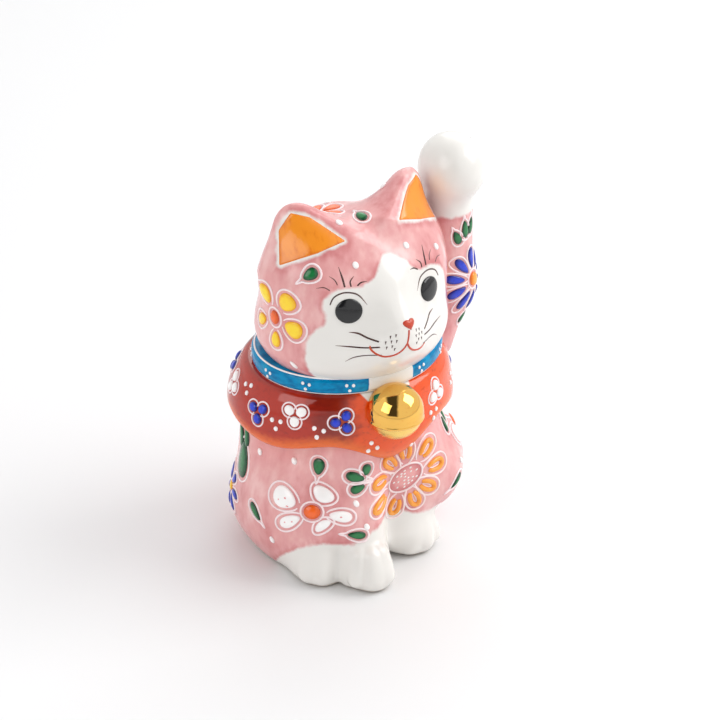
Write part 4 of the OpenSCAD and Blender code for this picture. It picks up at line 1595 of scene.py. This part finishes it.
@dataclass
class Body(Painted):
    """The body casting with its feet, and the flowers laid on it."""

    trunk: Swelling = Swelling((0, 3, 28), (25.5, 22, 33), 8)
    shoulders: Swelling = Swelling((0, 2, 42), (24, 19, 14), 8)
    seat: Swelling = Swelling((0, 6, 9), (27, 22, 14), 8)
    right_haunch: Swelling = Swelling((-14.5, -3, 15), (14, 20, 20), 5)
    right_foot: Swelling = Swelling((-15.5, -15.5, 3.5), (8, 8.5, 8), 3)
    left_haunch: Swelling = Swelling((14.5, -3, 20), (14, 20, 15.2), 5)
    left_foot: Swelling = Swelling((9.5, -14.5, 3.5), (7, 8, 8), 3)
    fore_leg: Limb = Limb((-8, -16, 34), (7, 5.8), 6, (-7.4, -20.8, 8))
    paw: Swelling = Swelling((-8.2, -23.5, 4.0), (6, 8.5, 8), 3)
    chest: Limb = Limb((8, -14, 30), (8, 5), 6, (6, -17, 8))
    toe_spread: float = 36.0
    toe_radii: tuple[float, float] = (1.9, 1.7)
    neck: float = 54.0
    vent: tuple[float, float] = (0.0, 10.0)
    vent_radius: float = 4.5
    vent_depth: float = 8.0
    room: Swelling = Swelling((0, 7, 12), (15, 12, 9), 0.5)
    line: float = 0.54
    space: Space = Space((-31, -36, -1), (31, 32, 56), 0.5)
    # The lower edge of the pink as (azimuth, height)
    pink_hem: Pairs = ((-180, -9), (-82, -9), (-70, 1.0), (-58, 7.5), (-46, 12.5), (-38, 13), (-30, 11.6),
                       (-24, 12), (-14, 15), (-8.5, 15.7), (0, 16.5), (9, 15.3), (20, 12.5), (32, 12.3),
                       (44, 11.5), (56, 7.5), (70, 1.0), (82, -9), (180, -9))

    def __post_init__(self) -> None:
        """Prepares the skin."""
        self.skin = Skin(self.shape, (0, 2, 28), (0, 2))
        self.outlines: list[Trail] = []

    def toes(self, p: Array, foot: Swelling, turn: float) -> Array:
        """The soft ridges of one foot's toes, fanned round the way that the foot points.

        Args:
            p: Points, one a row.
            foot: The foot.
            turn: The way that it points, in degrees from the front.

        Returns:
            The ridges' field at the points.
        """
        ridge = np.full(len(p), 50.0)
        for spread in (-self.toe_spread, 0, self.toe_spread):
            way = math.radians(turn + spread)
            over, out = np.array([math.sin(way), -math.cos(way), 0.0]), np.array([0.0, 0.0, 1.0])
            heel = np.array(foot.at) + over * 4.6 + out * 5.0
            tip = np.array(foot.at) + over * 6.9 - out * 0.4
            ridge = smin(ridge, rod(p, heel, tip, *self.toe_radii), 0.4)
        return ridge

    def crease(self, p: Array) -> Array:
        """The soft furrow between the right hind foot and the fore paw beside it.

        Args:
            p: Points, one a row.

        Returns:
            How far the furrow sinks the skin at each point.
        """
        a, b = np.array(self.right_foot.at[:2]), np.array(self.paw.at[:2])
        across = (b - a) / np.linalg.norm(b - a)
        away = p[:, :2] - (a + b) / 2
        outside = ease(away @ np.array([across[1], -across[0]]), -1.0, 2.0)
        return 1.1 * np.exp(-((away @ across / 1.7) ** 2)) * outside * (1 - ease(p[:, 2], 8, 14))

    def solid(self, p: Array) -> Array:
        """The outer form: trunk, shoulders, haunches, fore legs and feet, cut level at floor and neck.

        Args:
            p: Points, one a row.

        Returns:
            The field at the points.
        """
        f = self.trunk.field(p)
        for form in (self.shoulders, self.seat):
            f = form.join(f, p)
        for haunch, foot in ((self.right_haunch, self.right_foot), (self.left_haunch, self.left_foot)):
            f = smin(f, foot.join(haunch.field(p), p), haunch.blend)
        f = smin(f, self.paw.join(self.fore_leg.field(p), p), self.fore_leg.blend)
        f = self.chest.join(f, p)
        for foot, turn in ((self.paw, -14), (self.right_foot, -30), (self.left_foot, 12)):
            f = smin(f, self.toes(p, foot, turn), 1.8)
        f = smax(f + self.crease(p), -p[:, 2], 1.5)
        return smax(f, p[:, 2] - self.neck, 1)

    def shape(self, p: Array) -> Array:
        """The outer form with the vent hole and the space above it taken out.

        Args:
            p: Points, one a row.

        Returns:
            The field at the points.
        """
        hole = np.hypot(p[:, 0] - self.vent[0], p[:, 1] - self.vent[1]) - self.vent_radius
        hole = np.maximum(hole, p[:, 2] - self.vent_depth)
        return smax(self.solid(p), -self.room.join(hole, p), 0.6)

    def pink_depth(self, p: Array) -> Array:
        """How far above the pink's lower edge a point is.

        Args:
            p: Points of the skin, one a row.

        Returns:
            The distances, in millimetres along the slanting skin.
        """
        slant = 0.85
        azimuth = np.degrees(np.arctan2(p[:, 0], -(p[:, 1] - 2)))
        hem = np.array(self.pink_hem, float)
        fine = np.arange(-180, 181, 3.0)
        edge = np.interp(fine, hem[:, 0], hem[:, 1])
        edge = np.convolve(np.pad(edge, 2, mode="edge"), np.ones(5) / 5, mode="valid")
        return (p[:, 2] - np.interp(azimuth, fine, edge)) * slant

    def build(self) -> None:
        """Makes the casting and lays the flowers on it."""
        wash = WashedPorcelain("body_wash", "pink_glaze")
        self.casting = cast("body_porcelain", self.skin, self.space, wash, "body_casting", pink=self.pink_depth)
        self.lay_haunch_flowers()
        self.lay_belly_daisy()
        self.lay_leaves()
        self.lay_blue_daisies()
        self.lay_dots()
        self.trail("body_outlines", self.outlines, OUTLINE)

    def lay_haunch_flowers(self) -> None:
        """White flowers with orange hearts on the haunches."""
        right, left = self.skin.spot_around(-44, 21.3), self.skin.spot_around(68, 27.5)
        petals = [Petal(60, 5.0, 5.6, 3.8), Petal(160, 7.6, 5.4, 6.8), Petal(209, 6.4, 3.0, 6.4),
                  Petal(-52, 4.2, 4.4, 2.4), Petal(-8, 7.0, 2.9, 5.8)]
        even = even_petals(5, 180, 5.8, 4.4, 5.2)
        drops = flower(right, petals) + flower(left, even)
        self.lay("haunch_petals", drops, WHITE_ENAMEL, "haunch_flower_petals")
        specks = [Petal(158, 7.2, 1.3, 0.9), Petal(166, 8.6, 0.7, 0.6), Petal(173, 6.2, 0.9, 0.5),
                  Petal(211, 5.6, 0.9, 0.7), Petal(207, 7.4, 0.8, 0.6), Petal(-8, 7.0, 1.3, 0.8)]
        drops = [Drop(right.polar(one.reach, one.angle), one.width, one.length, 0.62, one.angle)
                 for one in specks]
        self.lay("haunch_petal_specks", drops, PINK_WASH, "haunch_flower_petals", Fineness.DOT)
        hearts = [Drop(right, 4.2, 3.6, 0.8), Drop(left, 3.8, 3.8, 0.8)]
        self.lay("haunch_hearts", hearts, ORANGE, "haunch_flower_centre")
        self.outlines += [petal_loop(middle, petal, 0.75, self.line, opening=16)
                          for middle, ring in ((right, petals), (left, even)) for petal in ring]
        self.outlines += [ring_trail(right, 5.6, 5.0, self.line), ring_trail(left, 5.2, 5.2, self.line)]

    def lay_belly_daisy(self) -> None:
        """The large daisy of looped orange petals round a dashed heart."""
        middle, tilt = self.skin.spot_around(10, 24.4), 36
        petals = [Petal(angle, 7.4 + 1.2 * math.cos(math.radians(2 * (angle - 40))), 3.2, 5.4)
                  for angle in np.arange(10, 370, 40)]
        loops = [petal_loop(middle, petal, -0.5, 1.3, opening=34) for petal in petals]
        self.trail("belly_daisy_loops", loops, DAISY_ORANGE, "belly_daisy_petals", 0.0)
        self.lay("belly_daisy_heart", [Drop(middle, 9.4, 5.8, 0.15, tilt)], PINK_WASH, "belly_daisy_centre")
        self.outlines += [petal_loop(middle, petal, 0.85, self.line, opening=22) for petal in petals]
        self.outlines += [petal_loop(middle, petal._replace(width=0.7, length=2.6), 0.0, 0.3, opening=0)
                          for petal in petals]
        self.outlines.append(ring_trail(middle, 9.8, 6.2, self.line, tilt))
        grains = [Drop(middle.polar(ring * (1 + 0.34 * math.cos(math.radians(2 * (turn - tilt)))), turn),
                       0.42, 0.8, 0.3, -50)
                  for ring in (0.6, 1.6, 2.5) for turn in np.arange(0, 360, 360 / round(1 + 4 * ring))]
        self.lay("belly_heart_grains", grains, WHITE_ENAMEL, "petal_outlines", Fineness.SPECK)

    def lay_leaves(self) -> None:
        """Small leaves all round, and a large one with two slim ones above it on each side."""
        # Each leaf as (azimuth, height, width, length, turn)
        leaf = ((-42.5, 31.5, 3.0, 4.2, 180), (-17, 31.2, 2.4, 3.0, 165), (-23, 29.8, 2.5, 5.0, -108),
                (-22.0, 26.8, 2.3, 3.8, -74), (-76.5, 16.0, 2.2, 5.2, -130), (-23, 14.6, 2.0, 4.6, 80),
                (40, 18.4, 1.6, 5.0, 120), (49, 31.5, 1.3, 4.4, -24), (54, 33, 1.3, 4.4, -14),
                (150, 26, 2.6, 5, -35), (-150, 26, 2.6, 5, 35))
        leaves = [Drop(self.skin.spot_around(az, z), w, h, 0.55, turn, 0.3) for az, z, w, h, turn in leaf]
        self.lay("body_leaf_drops", leaves, GREEN, "body_leaves")
        # Each side leaf as (azimuth, height, width, length, turn, taper)
        side_leaf = ((95, 25.6, 5.6, 9.6, -8, 0.25), (101, 31.4, 2.6, 7.6, -12, 0.3),
                     (93.5, 32.4, 2.2, 6.4, -4, 0.3))
        sides = [Drop(self.skin.spot_around(side * az, z), w, h, 0.6, side * turn, taper)
                 for side, _ in SIDES for az, z, w, h, turn, taper in side_leaf]
        self.lay("side_leaf_drops", sides, GREEN, "side_leaves")
        self.outlines += [leaf_loop(one, 0.7, self.line) for one in leaves]
        self.outlines += [leaf_loop(one, 0.9, self.line, 0.4) for one in sides[::len(side_leaf)]]

    def lay_blue_daisies(self) -> None:
        """Blue daisies on the right hip and the middle of the back."""
        hip, back = self.skin.spot_around(-109, 14.5), self.skin.spot_around(180, 30)
        hip_petals, back_petals = even_petals(7, 0, 4.2, 1.9, 4.6), even_petals(9, 0, 5.6, 2.1, 5.8)
        blues = flower(hip, hip_petals, taper=-0.35) + flower(back, back_petals, taper=-0.35)
        self.lay("hip_daisy_petals", blues, BLUE, "hip_petals")
        hearts = [Drop(hip, 2.6, 2.6, 0.6), Drop(back, 3.4, 3.4, 0.7)]
        self.lay("hip_daisy_hearts", hearts, YELLOW, "hip_petals")
        self.outlines += [petal_loop(hip, petal, 0.5, 0.5, 0.35, 16) for petal in hip_petals]
        self.outlines += [petal_loop(back, petal, 0.6, 0.5, 0.35, 16) for petal in back_petals]

    def lay_dots(self) -> None:
        """White dots scattered between the flowers."""
        dot = ((-80, 31), (-57, 31.8), (-23, 23), (-18, 16.4), (-65, 10.4), (46, 22.5), (112, 24), (95, 12),
               (120, 32), (130, 15), (-130, 32), (-125, 10), (-160, 16), (160, 14), (55, 12))
        dots = [Drop(self.skin.spot_around(*at), 1.4, 2.0, 0.5, 25) for at in dot]
        self.lay("body_dot_drops", dots, WHITE_ENAMEL, "body_dots", Fineness.DOT)


# ---- The raised fore leg and the tail ----


@dataclass
class RaisedLeg(Painted):
    """The raised fore leg, pink to the wrist, with its blue daisy."""

    upper: Limb = Limb((23.6, 0, 45), (6.2, 7.3), 4, (28.6, 0, 63))
    fore: Limb = Limb((28.6, 0, 63), (7.3, 6.3), 4, (29, -0.5, 90))
    paw: Swelling = Swelling((29.0, -2.5, 94.7), (8, 9, 8.5), 3)
    foot: float = 44.5
    wash_top: float = 83.0
    line: float = 0.5
    space: Space = Space((15, -14, 43), (39, 10, 105), 0.45)

    def __post_init__(self) -> None:
        """Prepares the skin."""
        self.skin = Skin(self.shape, self.paw.at, (28.8, -1.0))

    def shape(self, p: Array) -> Array:
        """The leg's field."""
        f = self.paw.join(self.fore.join(self.upper.field(p), p), p)
        return smax(f, self.foot - p[:, 2], 1.5)

    def build(self) -> None:
        """Makes the leg and lays its daisy and leaves."""
        wash = WashedPorcelain("leg_wash", "white_glaze")
        self.casting = cast("raised_leg_porcelain", self.skin, self.space, wash, "raised_arm",
                            pink=lambda p: self.wash_top - p[:, 2])
        daisy = self.skin.spot_around(36, 65)
        petals = even_petals(10, 18, 5.7, 2.2, 5.6)
        self.lay("leg_daisy_petals", flower(daisy, petals, taper=-0.35), BLUE, "arm_daisy_petals")
        self.lay("leg_daisy_heart", [Drop(daisy, 3.4, 3.6, 0.8)], AMBER, "arm_daisy_centre")
        # Each leaf as (azimuth, height, width, length, turn)
        leaf = ((-8, 77.5, 2.1, 3.8, 25), (14, 79.2, 2.0, 4.8, 5), (34, 79.5, 1.9, 4.4, -12),
                (24, 54.5, 2.1, 3.8, -40), (150, 70, 2.3, 5, 0))
        leaves = [Drop(self.skin.spot_around(az, z), w, h, 0.5, turn, 0.3) for az, z, w, h, turn in leaf]
        self.lay("leg_leaf_drops", leaves, GREEN, "arm_leaves")
        lines = [petal_loop(daisy, petal, 0.5, 0.5, 0.35, 16) for petal in petals]
        lines += [leaf_loop(one, 0.55, self.line, 0.9) for one in leaves]
        self.trail("leg_outlines", [*lines, ring_trail(daisy, 4.8, 5.0, self.line)], OUTLINE)


@dataclass
class Tail:
    """The short tail, curled against the back just above the floor."""

    cell: float = 0.4
    margin: float = 2.0
    wash_drop: float = 2.0

    def build(self) -> None:
        """Makes the tail inside the space that the frame keeps for it."""
        low, high = (np.array(corner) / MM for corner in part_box("tail"))
        middle, half = (low + high) / 2, (high - low) / 2
        root = middle + (0, -half[1] * 0.6, -half[2] * 0.55)
        tip = middle + (half[0] * 0.1, -half[1] * 0.25, half[2] * 0.5)
        radius = min(half[0], half[1] * 1.3) * 0.88
        stub = Swelling(middle, half * 0.97, 2)

        def shape(p: Array) -> Array:
            """A stub that thickens to a round tip."""
            return stub.join(rod(p, root, tip, radius * 0.95, radius * 0.8), p)

        space = Space(low - self.margin, high + self.margin, self.cell)
        wash = WashedPorcelain("tail_wash", "white_glaze")
        cast("tail_porcelain", Skin(shape, middle, middle[:2]), space, wash, "tail",
             pink=lambda p: middle[2] - p[:, 2] - self.wash_drop)


# ---- The bib, the collar and the bell ----


@dataclass
class Bell:
    """A round gilded bell with a raised seam below its middle."""

    seam_drop: float = 1.35
    seam_high: float = 0.7
    seam_out: float = 0.22
    lower_in: float = 0.16
    around: int = 144
    rings: int = 121

    def __post_init__(self) -> None:
        """Takes the bell's place and size from the frame."""
        low, high = (np.array(corner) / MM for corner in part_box("bell"))
        self.radius = (high[2] - low[2]) / 2
        self.centre = np.array([(low[0] + high[0]) / 2, low[1] + self.radius, (low[2] + high[2]) / 2])

    def profile(self) -> Array:
        """Draws the half outline, a ball with its seam and a slightly smaller lower half.

        Returns:
            Points (radius, height) about the centre, from the bottom to the top.
        """
        heights = -self.radius * np.cos(np.linspace(0, math.pi, self.rings))
        radii = np.sqrt(np.maximum(self.radius**2 - heights**2, 0))
        seam = self.seam_out * np.exp(-(((heights + self.seam_drop) / (self.seam_high / 2)) ** 4))
        inset = self.lower_in * ease(-heights, self.seam_drop, self.seam_drop + 0.5) * radii / self.radius
        return np.stack([radii + seam - inset, heights], -1)

    def build(self) -> None:
        """Turns the profile round the upright axis."""
        outline = self.profile()[1:-1]
        rows, count = len(outline), self.around
        turns = np.linspace(0, 2 * math.pi, count, endpoint=False)
        ring = np.stack([np.cos(turns), np.sin(turns)], -1)
        points = [np.column_stack([r * ring, np.full(count, z)]) for r, z in outline]
        points = np.vstack([*points, [(0, 0, -self.radius)], [(0, 0, self.radius)]]) + self.centre
        faces = [(k + i, k + (i + 1) % count, k + count + (i + 1) % count, k + count + i)
                 for k in range(0, (rows - 1) * count, count) for i in range(count)]
        foot, top, last = rows * count, rows * count + 1, (rows - 1) * count
        faces += [(foot, (i + 1) % count, i) for i in range(count)]
        faces += [(last + i, last + (i + 1) % count, top) for i in range(count)]
        finish = Gilding(seam_height=self.centre[2] - self.seam_drop)
        made = new_object("gilded_bell", points, faces)
        made.data.materials.append(finish.material())
        hand_over(made, finish.slot, "bell")


@dataclass
class Bib(Painted):
    """The red bib: a shell on the shoulders with a waved, rolled hem and berries in threes."""

    body: Body
    bell: Bell
    drape: Swelling = Swelling((-0.6, 1, 39.5), (28.8, 26, 21), 4)
    rolled_top: Swelling = Swelling((0, -1.6, 47.5), (24.8, 21.4, 7), 4)
    top: float = 51.2
    hem_height: float = 36.6
    hem_wave: float = 1.2
    hem_waves: int = 5
    front_dip: float = 4.3
    sunk: float = 0.7
    space: Space = Space((-31, -30, 29), (31, 30, 53), 0.5)

    def __post_init__(self) -> None:
        """Prepares the skin."""
        self.skin = Skin(self.shape, (0, 2, 42), (0, 2))

    def above_hem(self, p: Array) -> Array:
        """How far above the waved hem each point is.

        Args:
            p: Points, one a row.

        Returns:
            The distances, straight up.
        """
        azimuth = np.arctan2(p[:, 0], -p[:, 1])
        dip = self.front_dip * np.maximum(np.cos(azimuth), 0) ** 12
        return p[:, 2] - self.hem_height + self.hem_wave * np.cos(self.hem_waves * azimuth) + dip

    def shape(self, p: Array) -> Array:
        """The bib's field: the drape above the hem, with the body taken out.

        Args:
            p: Points, one a row.

        Returns:
            The field at the points.
        """
        f = self.rolled_top.join(self.drape.field(p), p)
        f = smax(f, p[:, 2] - self.top, 1)
        f = smax(f, -self.above_hem(p), 3)
        return smax(f, -self.body.solid(p) - self.sunk, 0.3)

    def reserve(self, p: Array) -> Array:
        """How deep in the white left round the top of the bell a point is.

        Args:
            p: Points of the skin, one a row.

        Returns:
            The depths, below zero outside the white.
        """
        x, _, z = self.bell.centre
        margin, behind = 1.3, 20.0
        away = np.hypot(p[:, 0] - x, p[:, 2] - z)
        low = np.maximum(z + 4.5 - p[:, 2], 0)
        return self.bell.radius + margin - away - 1.1 * low - np.where(p[:, 1] < 0, 0.0, behind)

    def build(self) -> None:
        """Makes the bib and lays its berries and dots."""
        self.casting = cast("bib_shell", self.skin, self.space, BibGlaze(), "bib", hem=self.above_hem,
                            reserve=self.reserve)
        # Each three as (azimuth, height, turn)
        blue = ((-74.5, 44.5, 188), (-29.3, 45.2, 92), (76, 44.6, 0), (165, 44, 10), (-118, 47.5, 30))
        white = ((-101, 46, 20), (-53.6, 46.4, 180), (30, 45.6, 0), (120, 45, 180), (-150, 45, 0))
        dots = ((-86, 48.2, 195), (-63, 43.3, 182), (-41.5, 42.7, 165), (-14.2, 37.6, 12), (26, 40.6, 60),
                (52, 44, 0), (98, 43, 20), (142, 43, 0), (-128, 43, 10), (-172, 46, 30))
        for word, threes, finish in (("blue", blue, BLUE), ("white", white, WHITE_ENAMEL)):
            berries = []
            for az, z, turn in threes:
                rounds = even_petals(3, 90 + turn, 1.75, 2.4, 2.7)
                berries += flower(self.skin.spot_around(az, z), rounds, 0.7, 0.0)
            self.lay(f"bib_{word}_berries", berries, finish, f"bib_berries_{word}")
        drops = [drop for az, z, turn in dots
                 for drop in trio(self.skin.spot_around(az, z), 1.35, 90 + turn, 1.15, 1.25, 0.4)]
        drops.append(Drop(self.skin.spot_around(10.4, 34.6), 1.1, 1.2, 0.4))
        self.lay("bib_dot_drops", drops, WHITE_ENAMEL, "bib_dots", Fineness.DOT)
        lines = [petal_loop(self.skin.spot_around(az, z), petal, 0.55, 0.42, 0.0, 40)
                 for az, z, turn in blue + white for petal in even_petals(3, 90 + turn, 1.75, 2.5, 2.7)]
        self.trail("bib_outlines", lines, OUTLINE, lift=0.0)


@dataclass
class Collar(Painted):
    """The collar: a smooth ring with a turquoise band between white edges, and dots in threes."""

    bell: Bell
    radii: tuple[float, float] = (24.2, 21.2)
    middle: tuple[float, float] = (0.0, -1.4)
    half_thick: float = 2.0
    crown: float = 0.03
    white_edge: float = 0.3
    end_gap: float = -0.6
    end_round: float = 1.0
    rim: float = 0.5
    rim_inset: float = 0.15
    cell: float = 0.4

    def __post_init__(self) -> None:
        """Takes the band's heights from the frame."""
        low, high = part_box("collar_band")
        self.low, self.high = low.z / MM, high.z / MM
        self.level, self.half = (self.low + self.high) / 2, (self.high - self.low) / 2
        self.skin = Skin(self.shape, (*self.middle, self.level), self.middle)

    def shape(self, p: Array) -> Array:
        """The ring's field: a rounded band about an upright ellipse.

        Args:
            p: Points, one a row.

        Returns:
            The field at the points.
        """
        q = (p[:, :2] - self.middle) / self.radii
        k0 = np.linalg.norm(q, axis=-1)
        k1 = np.linalg.norm(q / self.radii, axis=-1)
        out = k0 * (k0 - 1) / np.maximum(k1, TINY)
        up = np.abs(p[:, 2] - self.level)
        return smax(np.abs(out + self.half_thick) - self.half_thick + self.crown * up**2, up - self.half, 1.4)

    def band_depth(self, p: Array) -> Array:
        """How deep inside the turquoise band a point is: below zero on the edges and by the bell.

        Args:
            p: Points of the skin, one a row.

        Returns:
            The depths, in millimetres.
        """
        wide, deep = self.radii
        along = np.abs(np.arctan2(p[:, 0] - self.middle[0], -(p[:, 1] - self.middle[1]))) * wide
        start = math.atan2(self.bell.radius, deep) * wide + self.end_gap
        below_edge = self.half - self.white_edge - (self.level - p[:, 2])
        flat = np.stack([self.end_round - (along - start), self.end_round - below_edge], -1)
        outer = np.linalg.norm(np.maximum(flat, 0), axis=-1)
        return self.end_round - outer - np.minimum(flat.max(1), 0)

    def build(self) -> None:
        """Makes the ring and lays its rims and dots."""
        space = Space((-26, -25, self.low - 1), (26, 22, self.high + 1), self.cell)
        self.casting = cast("collar_ring", self.skin, space, CollarGlaze(), "collar_band",
                            band=self.band_depth)
        azimuths = np.arange(-180, 180, 6.0)
        rims = [Trail(self.skin.around([(a, z) for a in azimuths]), self.rim, closed=True)
                for z in (self.low + self.rim_inset, self.high - self.rim_inset)]
        self.trail("collar_rims", rims, WHITE_ENAMEL, "collar_edging", -0.3)
        dots = [drop for az in range(-164, 170, 27) if abs(az) > 20
                for drop in trio(self.skin.spot_around(az, self.level), 0.95, 270 + az / 8, 0.85, 0.95, 0.25)]
        self.lay("collar_dot_drops", dots, WHITE_ENAMEL, "collar_dots", Fineness.SPECK)


# ---- The studio ----


@dataclass
class Studio:
    """The plain floor, the soft lights and the camera."""

    target: Point = (3.4, -1.8, 48.0)
    azimuth: float = -31.0
    elevation: float = 29.0
    distance: float = 617.0
    lens: float = 125.0
    sensor: float = 36.0
    floor_half: float = 3000.0
    sky_strength: float = 0.95
    dark: float = 0.93

    def from_angle(self, azimuth: float, elevation: float, distance: float) -> Array:
        """A point round the target.

        Args:
            azimuth: Degrees round from the front, towards the cat's left.
            elevation: Degrees above the level.
            distance: Millimetres from the target.

        Returns:
            The point, in metres.
        """
        return (np.array(self.target) + distance * direction(azimuth, elevation)) * MM

    def aim(self, thing: bpy.types.Object, place: Array) -> None:
        """Places a light or the camera and turns it to the target.

        Args:
            thing: The light or the camera.
            place: Where it stands, in metres.
        """
        thing.location = place
        way = Vector(np.array(self.target) * MM) - thing.location
        thing.rotation_euler = way.to_track_quat("-Z", "Y").to_euler()
        bpy.context.scene.collection.objects.link(thing)

    def light(self, name: str, azimuth: float, elevation: float, distance: float, size: float,
              power: float) -> None:
        """Adds one soft square light.

        Args:
            name: The light's name.
            azimuth: Degrees round from the front.
            elevation: Degrees above the level.
            distance: Millimetres from the target.
            size: The square's side, in metres.
            power: Its power, in watts.
        """
        lamp = bpy.data.lights.new(name, "AREA")
        lamp.size, lamp.energy = size, power
        self.aim(bpy.data.objects.new(name, lamp), self.from_angle(azimuth, elevation, distance))

    def lay_floor(self) -> None:
        """Lays the floor."""
        half = self.floor_half
        corners = np.array([(-half, -half, 0), (half, -half, 0), (half, half, 0), (-half, half, 0)])
        floor = new_object("studio_floor", corners, [(0, 1, 2, 3)])
        floor.data.materials.append(PlainFloor().material())

    def light_sky(self) -> None:
        """Surrounds the cat with white, but for a dark band on the camera's side that the bell mirrors."""
        world = bpy.data.worlds.new("studio_world")
        world.use_nodes = True
        sky = Wiring(world.node_tree)
        way = sky.node("ShaderNodeTexCoord").outputs["Generated"]
        x, y, _ = direction(self.azimuth, 0)
        up = sky.node("ShaderNodeSeparateXYZ", {0: way}).outputs["Z"]
        front, aside = (sky.node("ShaderNodeVectorMath", {0: way, 1: axis},
                                 operation="DOT_PRODUCT").outputs["Value"]
                        for axis in ((x, y, 0.0), (-y, x, 0.0)))
        band = sky.maths("MULTIPLY", sky.smooth(aside, -0.62, -0.42), sky.smooth(aside, 0.06, 0.26, 1.0, 0.0))
        band = sky.maths("MULTIPLY", band, sky.smooth(front, -0.3, -0.1))
        band = sky.maths("MULTIPLY", band, sky.smooth(up, 0.05, 0.15))
        white = sky.maths("SUBTRACT", 1.0, sky.maths("MULTIPLY", band, self.dark))
        background = world.node_tree.nodes["Background"]
        sky.tree.links.new(sky.maths("MULTIPLY", white, self.sky_strength), background.inputs["Strength"])
        background.inputs["Color"].default_value = (1.0, 1.0, 1.0, 1.0)
        bpy.context.scene.world = world

    def set_camera(self) -> None:
        """Sets the camera up."""
        lens = bpy.data.cameras.new("camera")
        lens.lens, lens.sensor_width = self.lens, self.sensor
        lens.clip_start, lens.clip_end = 0.01, 20.0
        camera = bpy.data.objects.new("camera", lens)
        self.aim(camera, self.from_angle(self.azimuth, self.elevation, self.distance))
        bpy.context.scene.camera = camera

    def build(self) -> None:
        """Makes the floor, the lights, the surrounding light and the camera."""
        self.lay_floor()
        self.light("key_light", 62, 42, 700, 0.45, 2.5)
        self.light("back_light", 140, 40, 800, 0.6, 1.4)
        self.light("fill_light", -75, 32, 800, 0.5, 1.5)
        self.light_sky()
        self.set_camera()
        bpy.context.scene.view_settings.view_transform = "Standard"


def main() -> None:
    """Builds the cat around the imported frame."""
    logging.basicConfig(level=logging.INFO, format="%(message)s")
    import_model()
    Studio().build()
    brush = Brush()
    body = Body(brush)
    bell = Bell()
    parts = [Head(brush), body, RaisedLeg(brush), Tail(), Bib(brush, body, bell), Collar(brush, bell), bell]
    for part in parts:
        part.build()
        LOG.info("%s done", type(part).__name__)


if __name__ == "__main__":
    main()
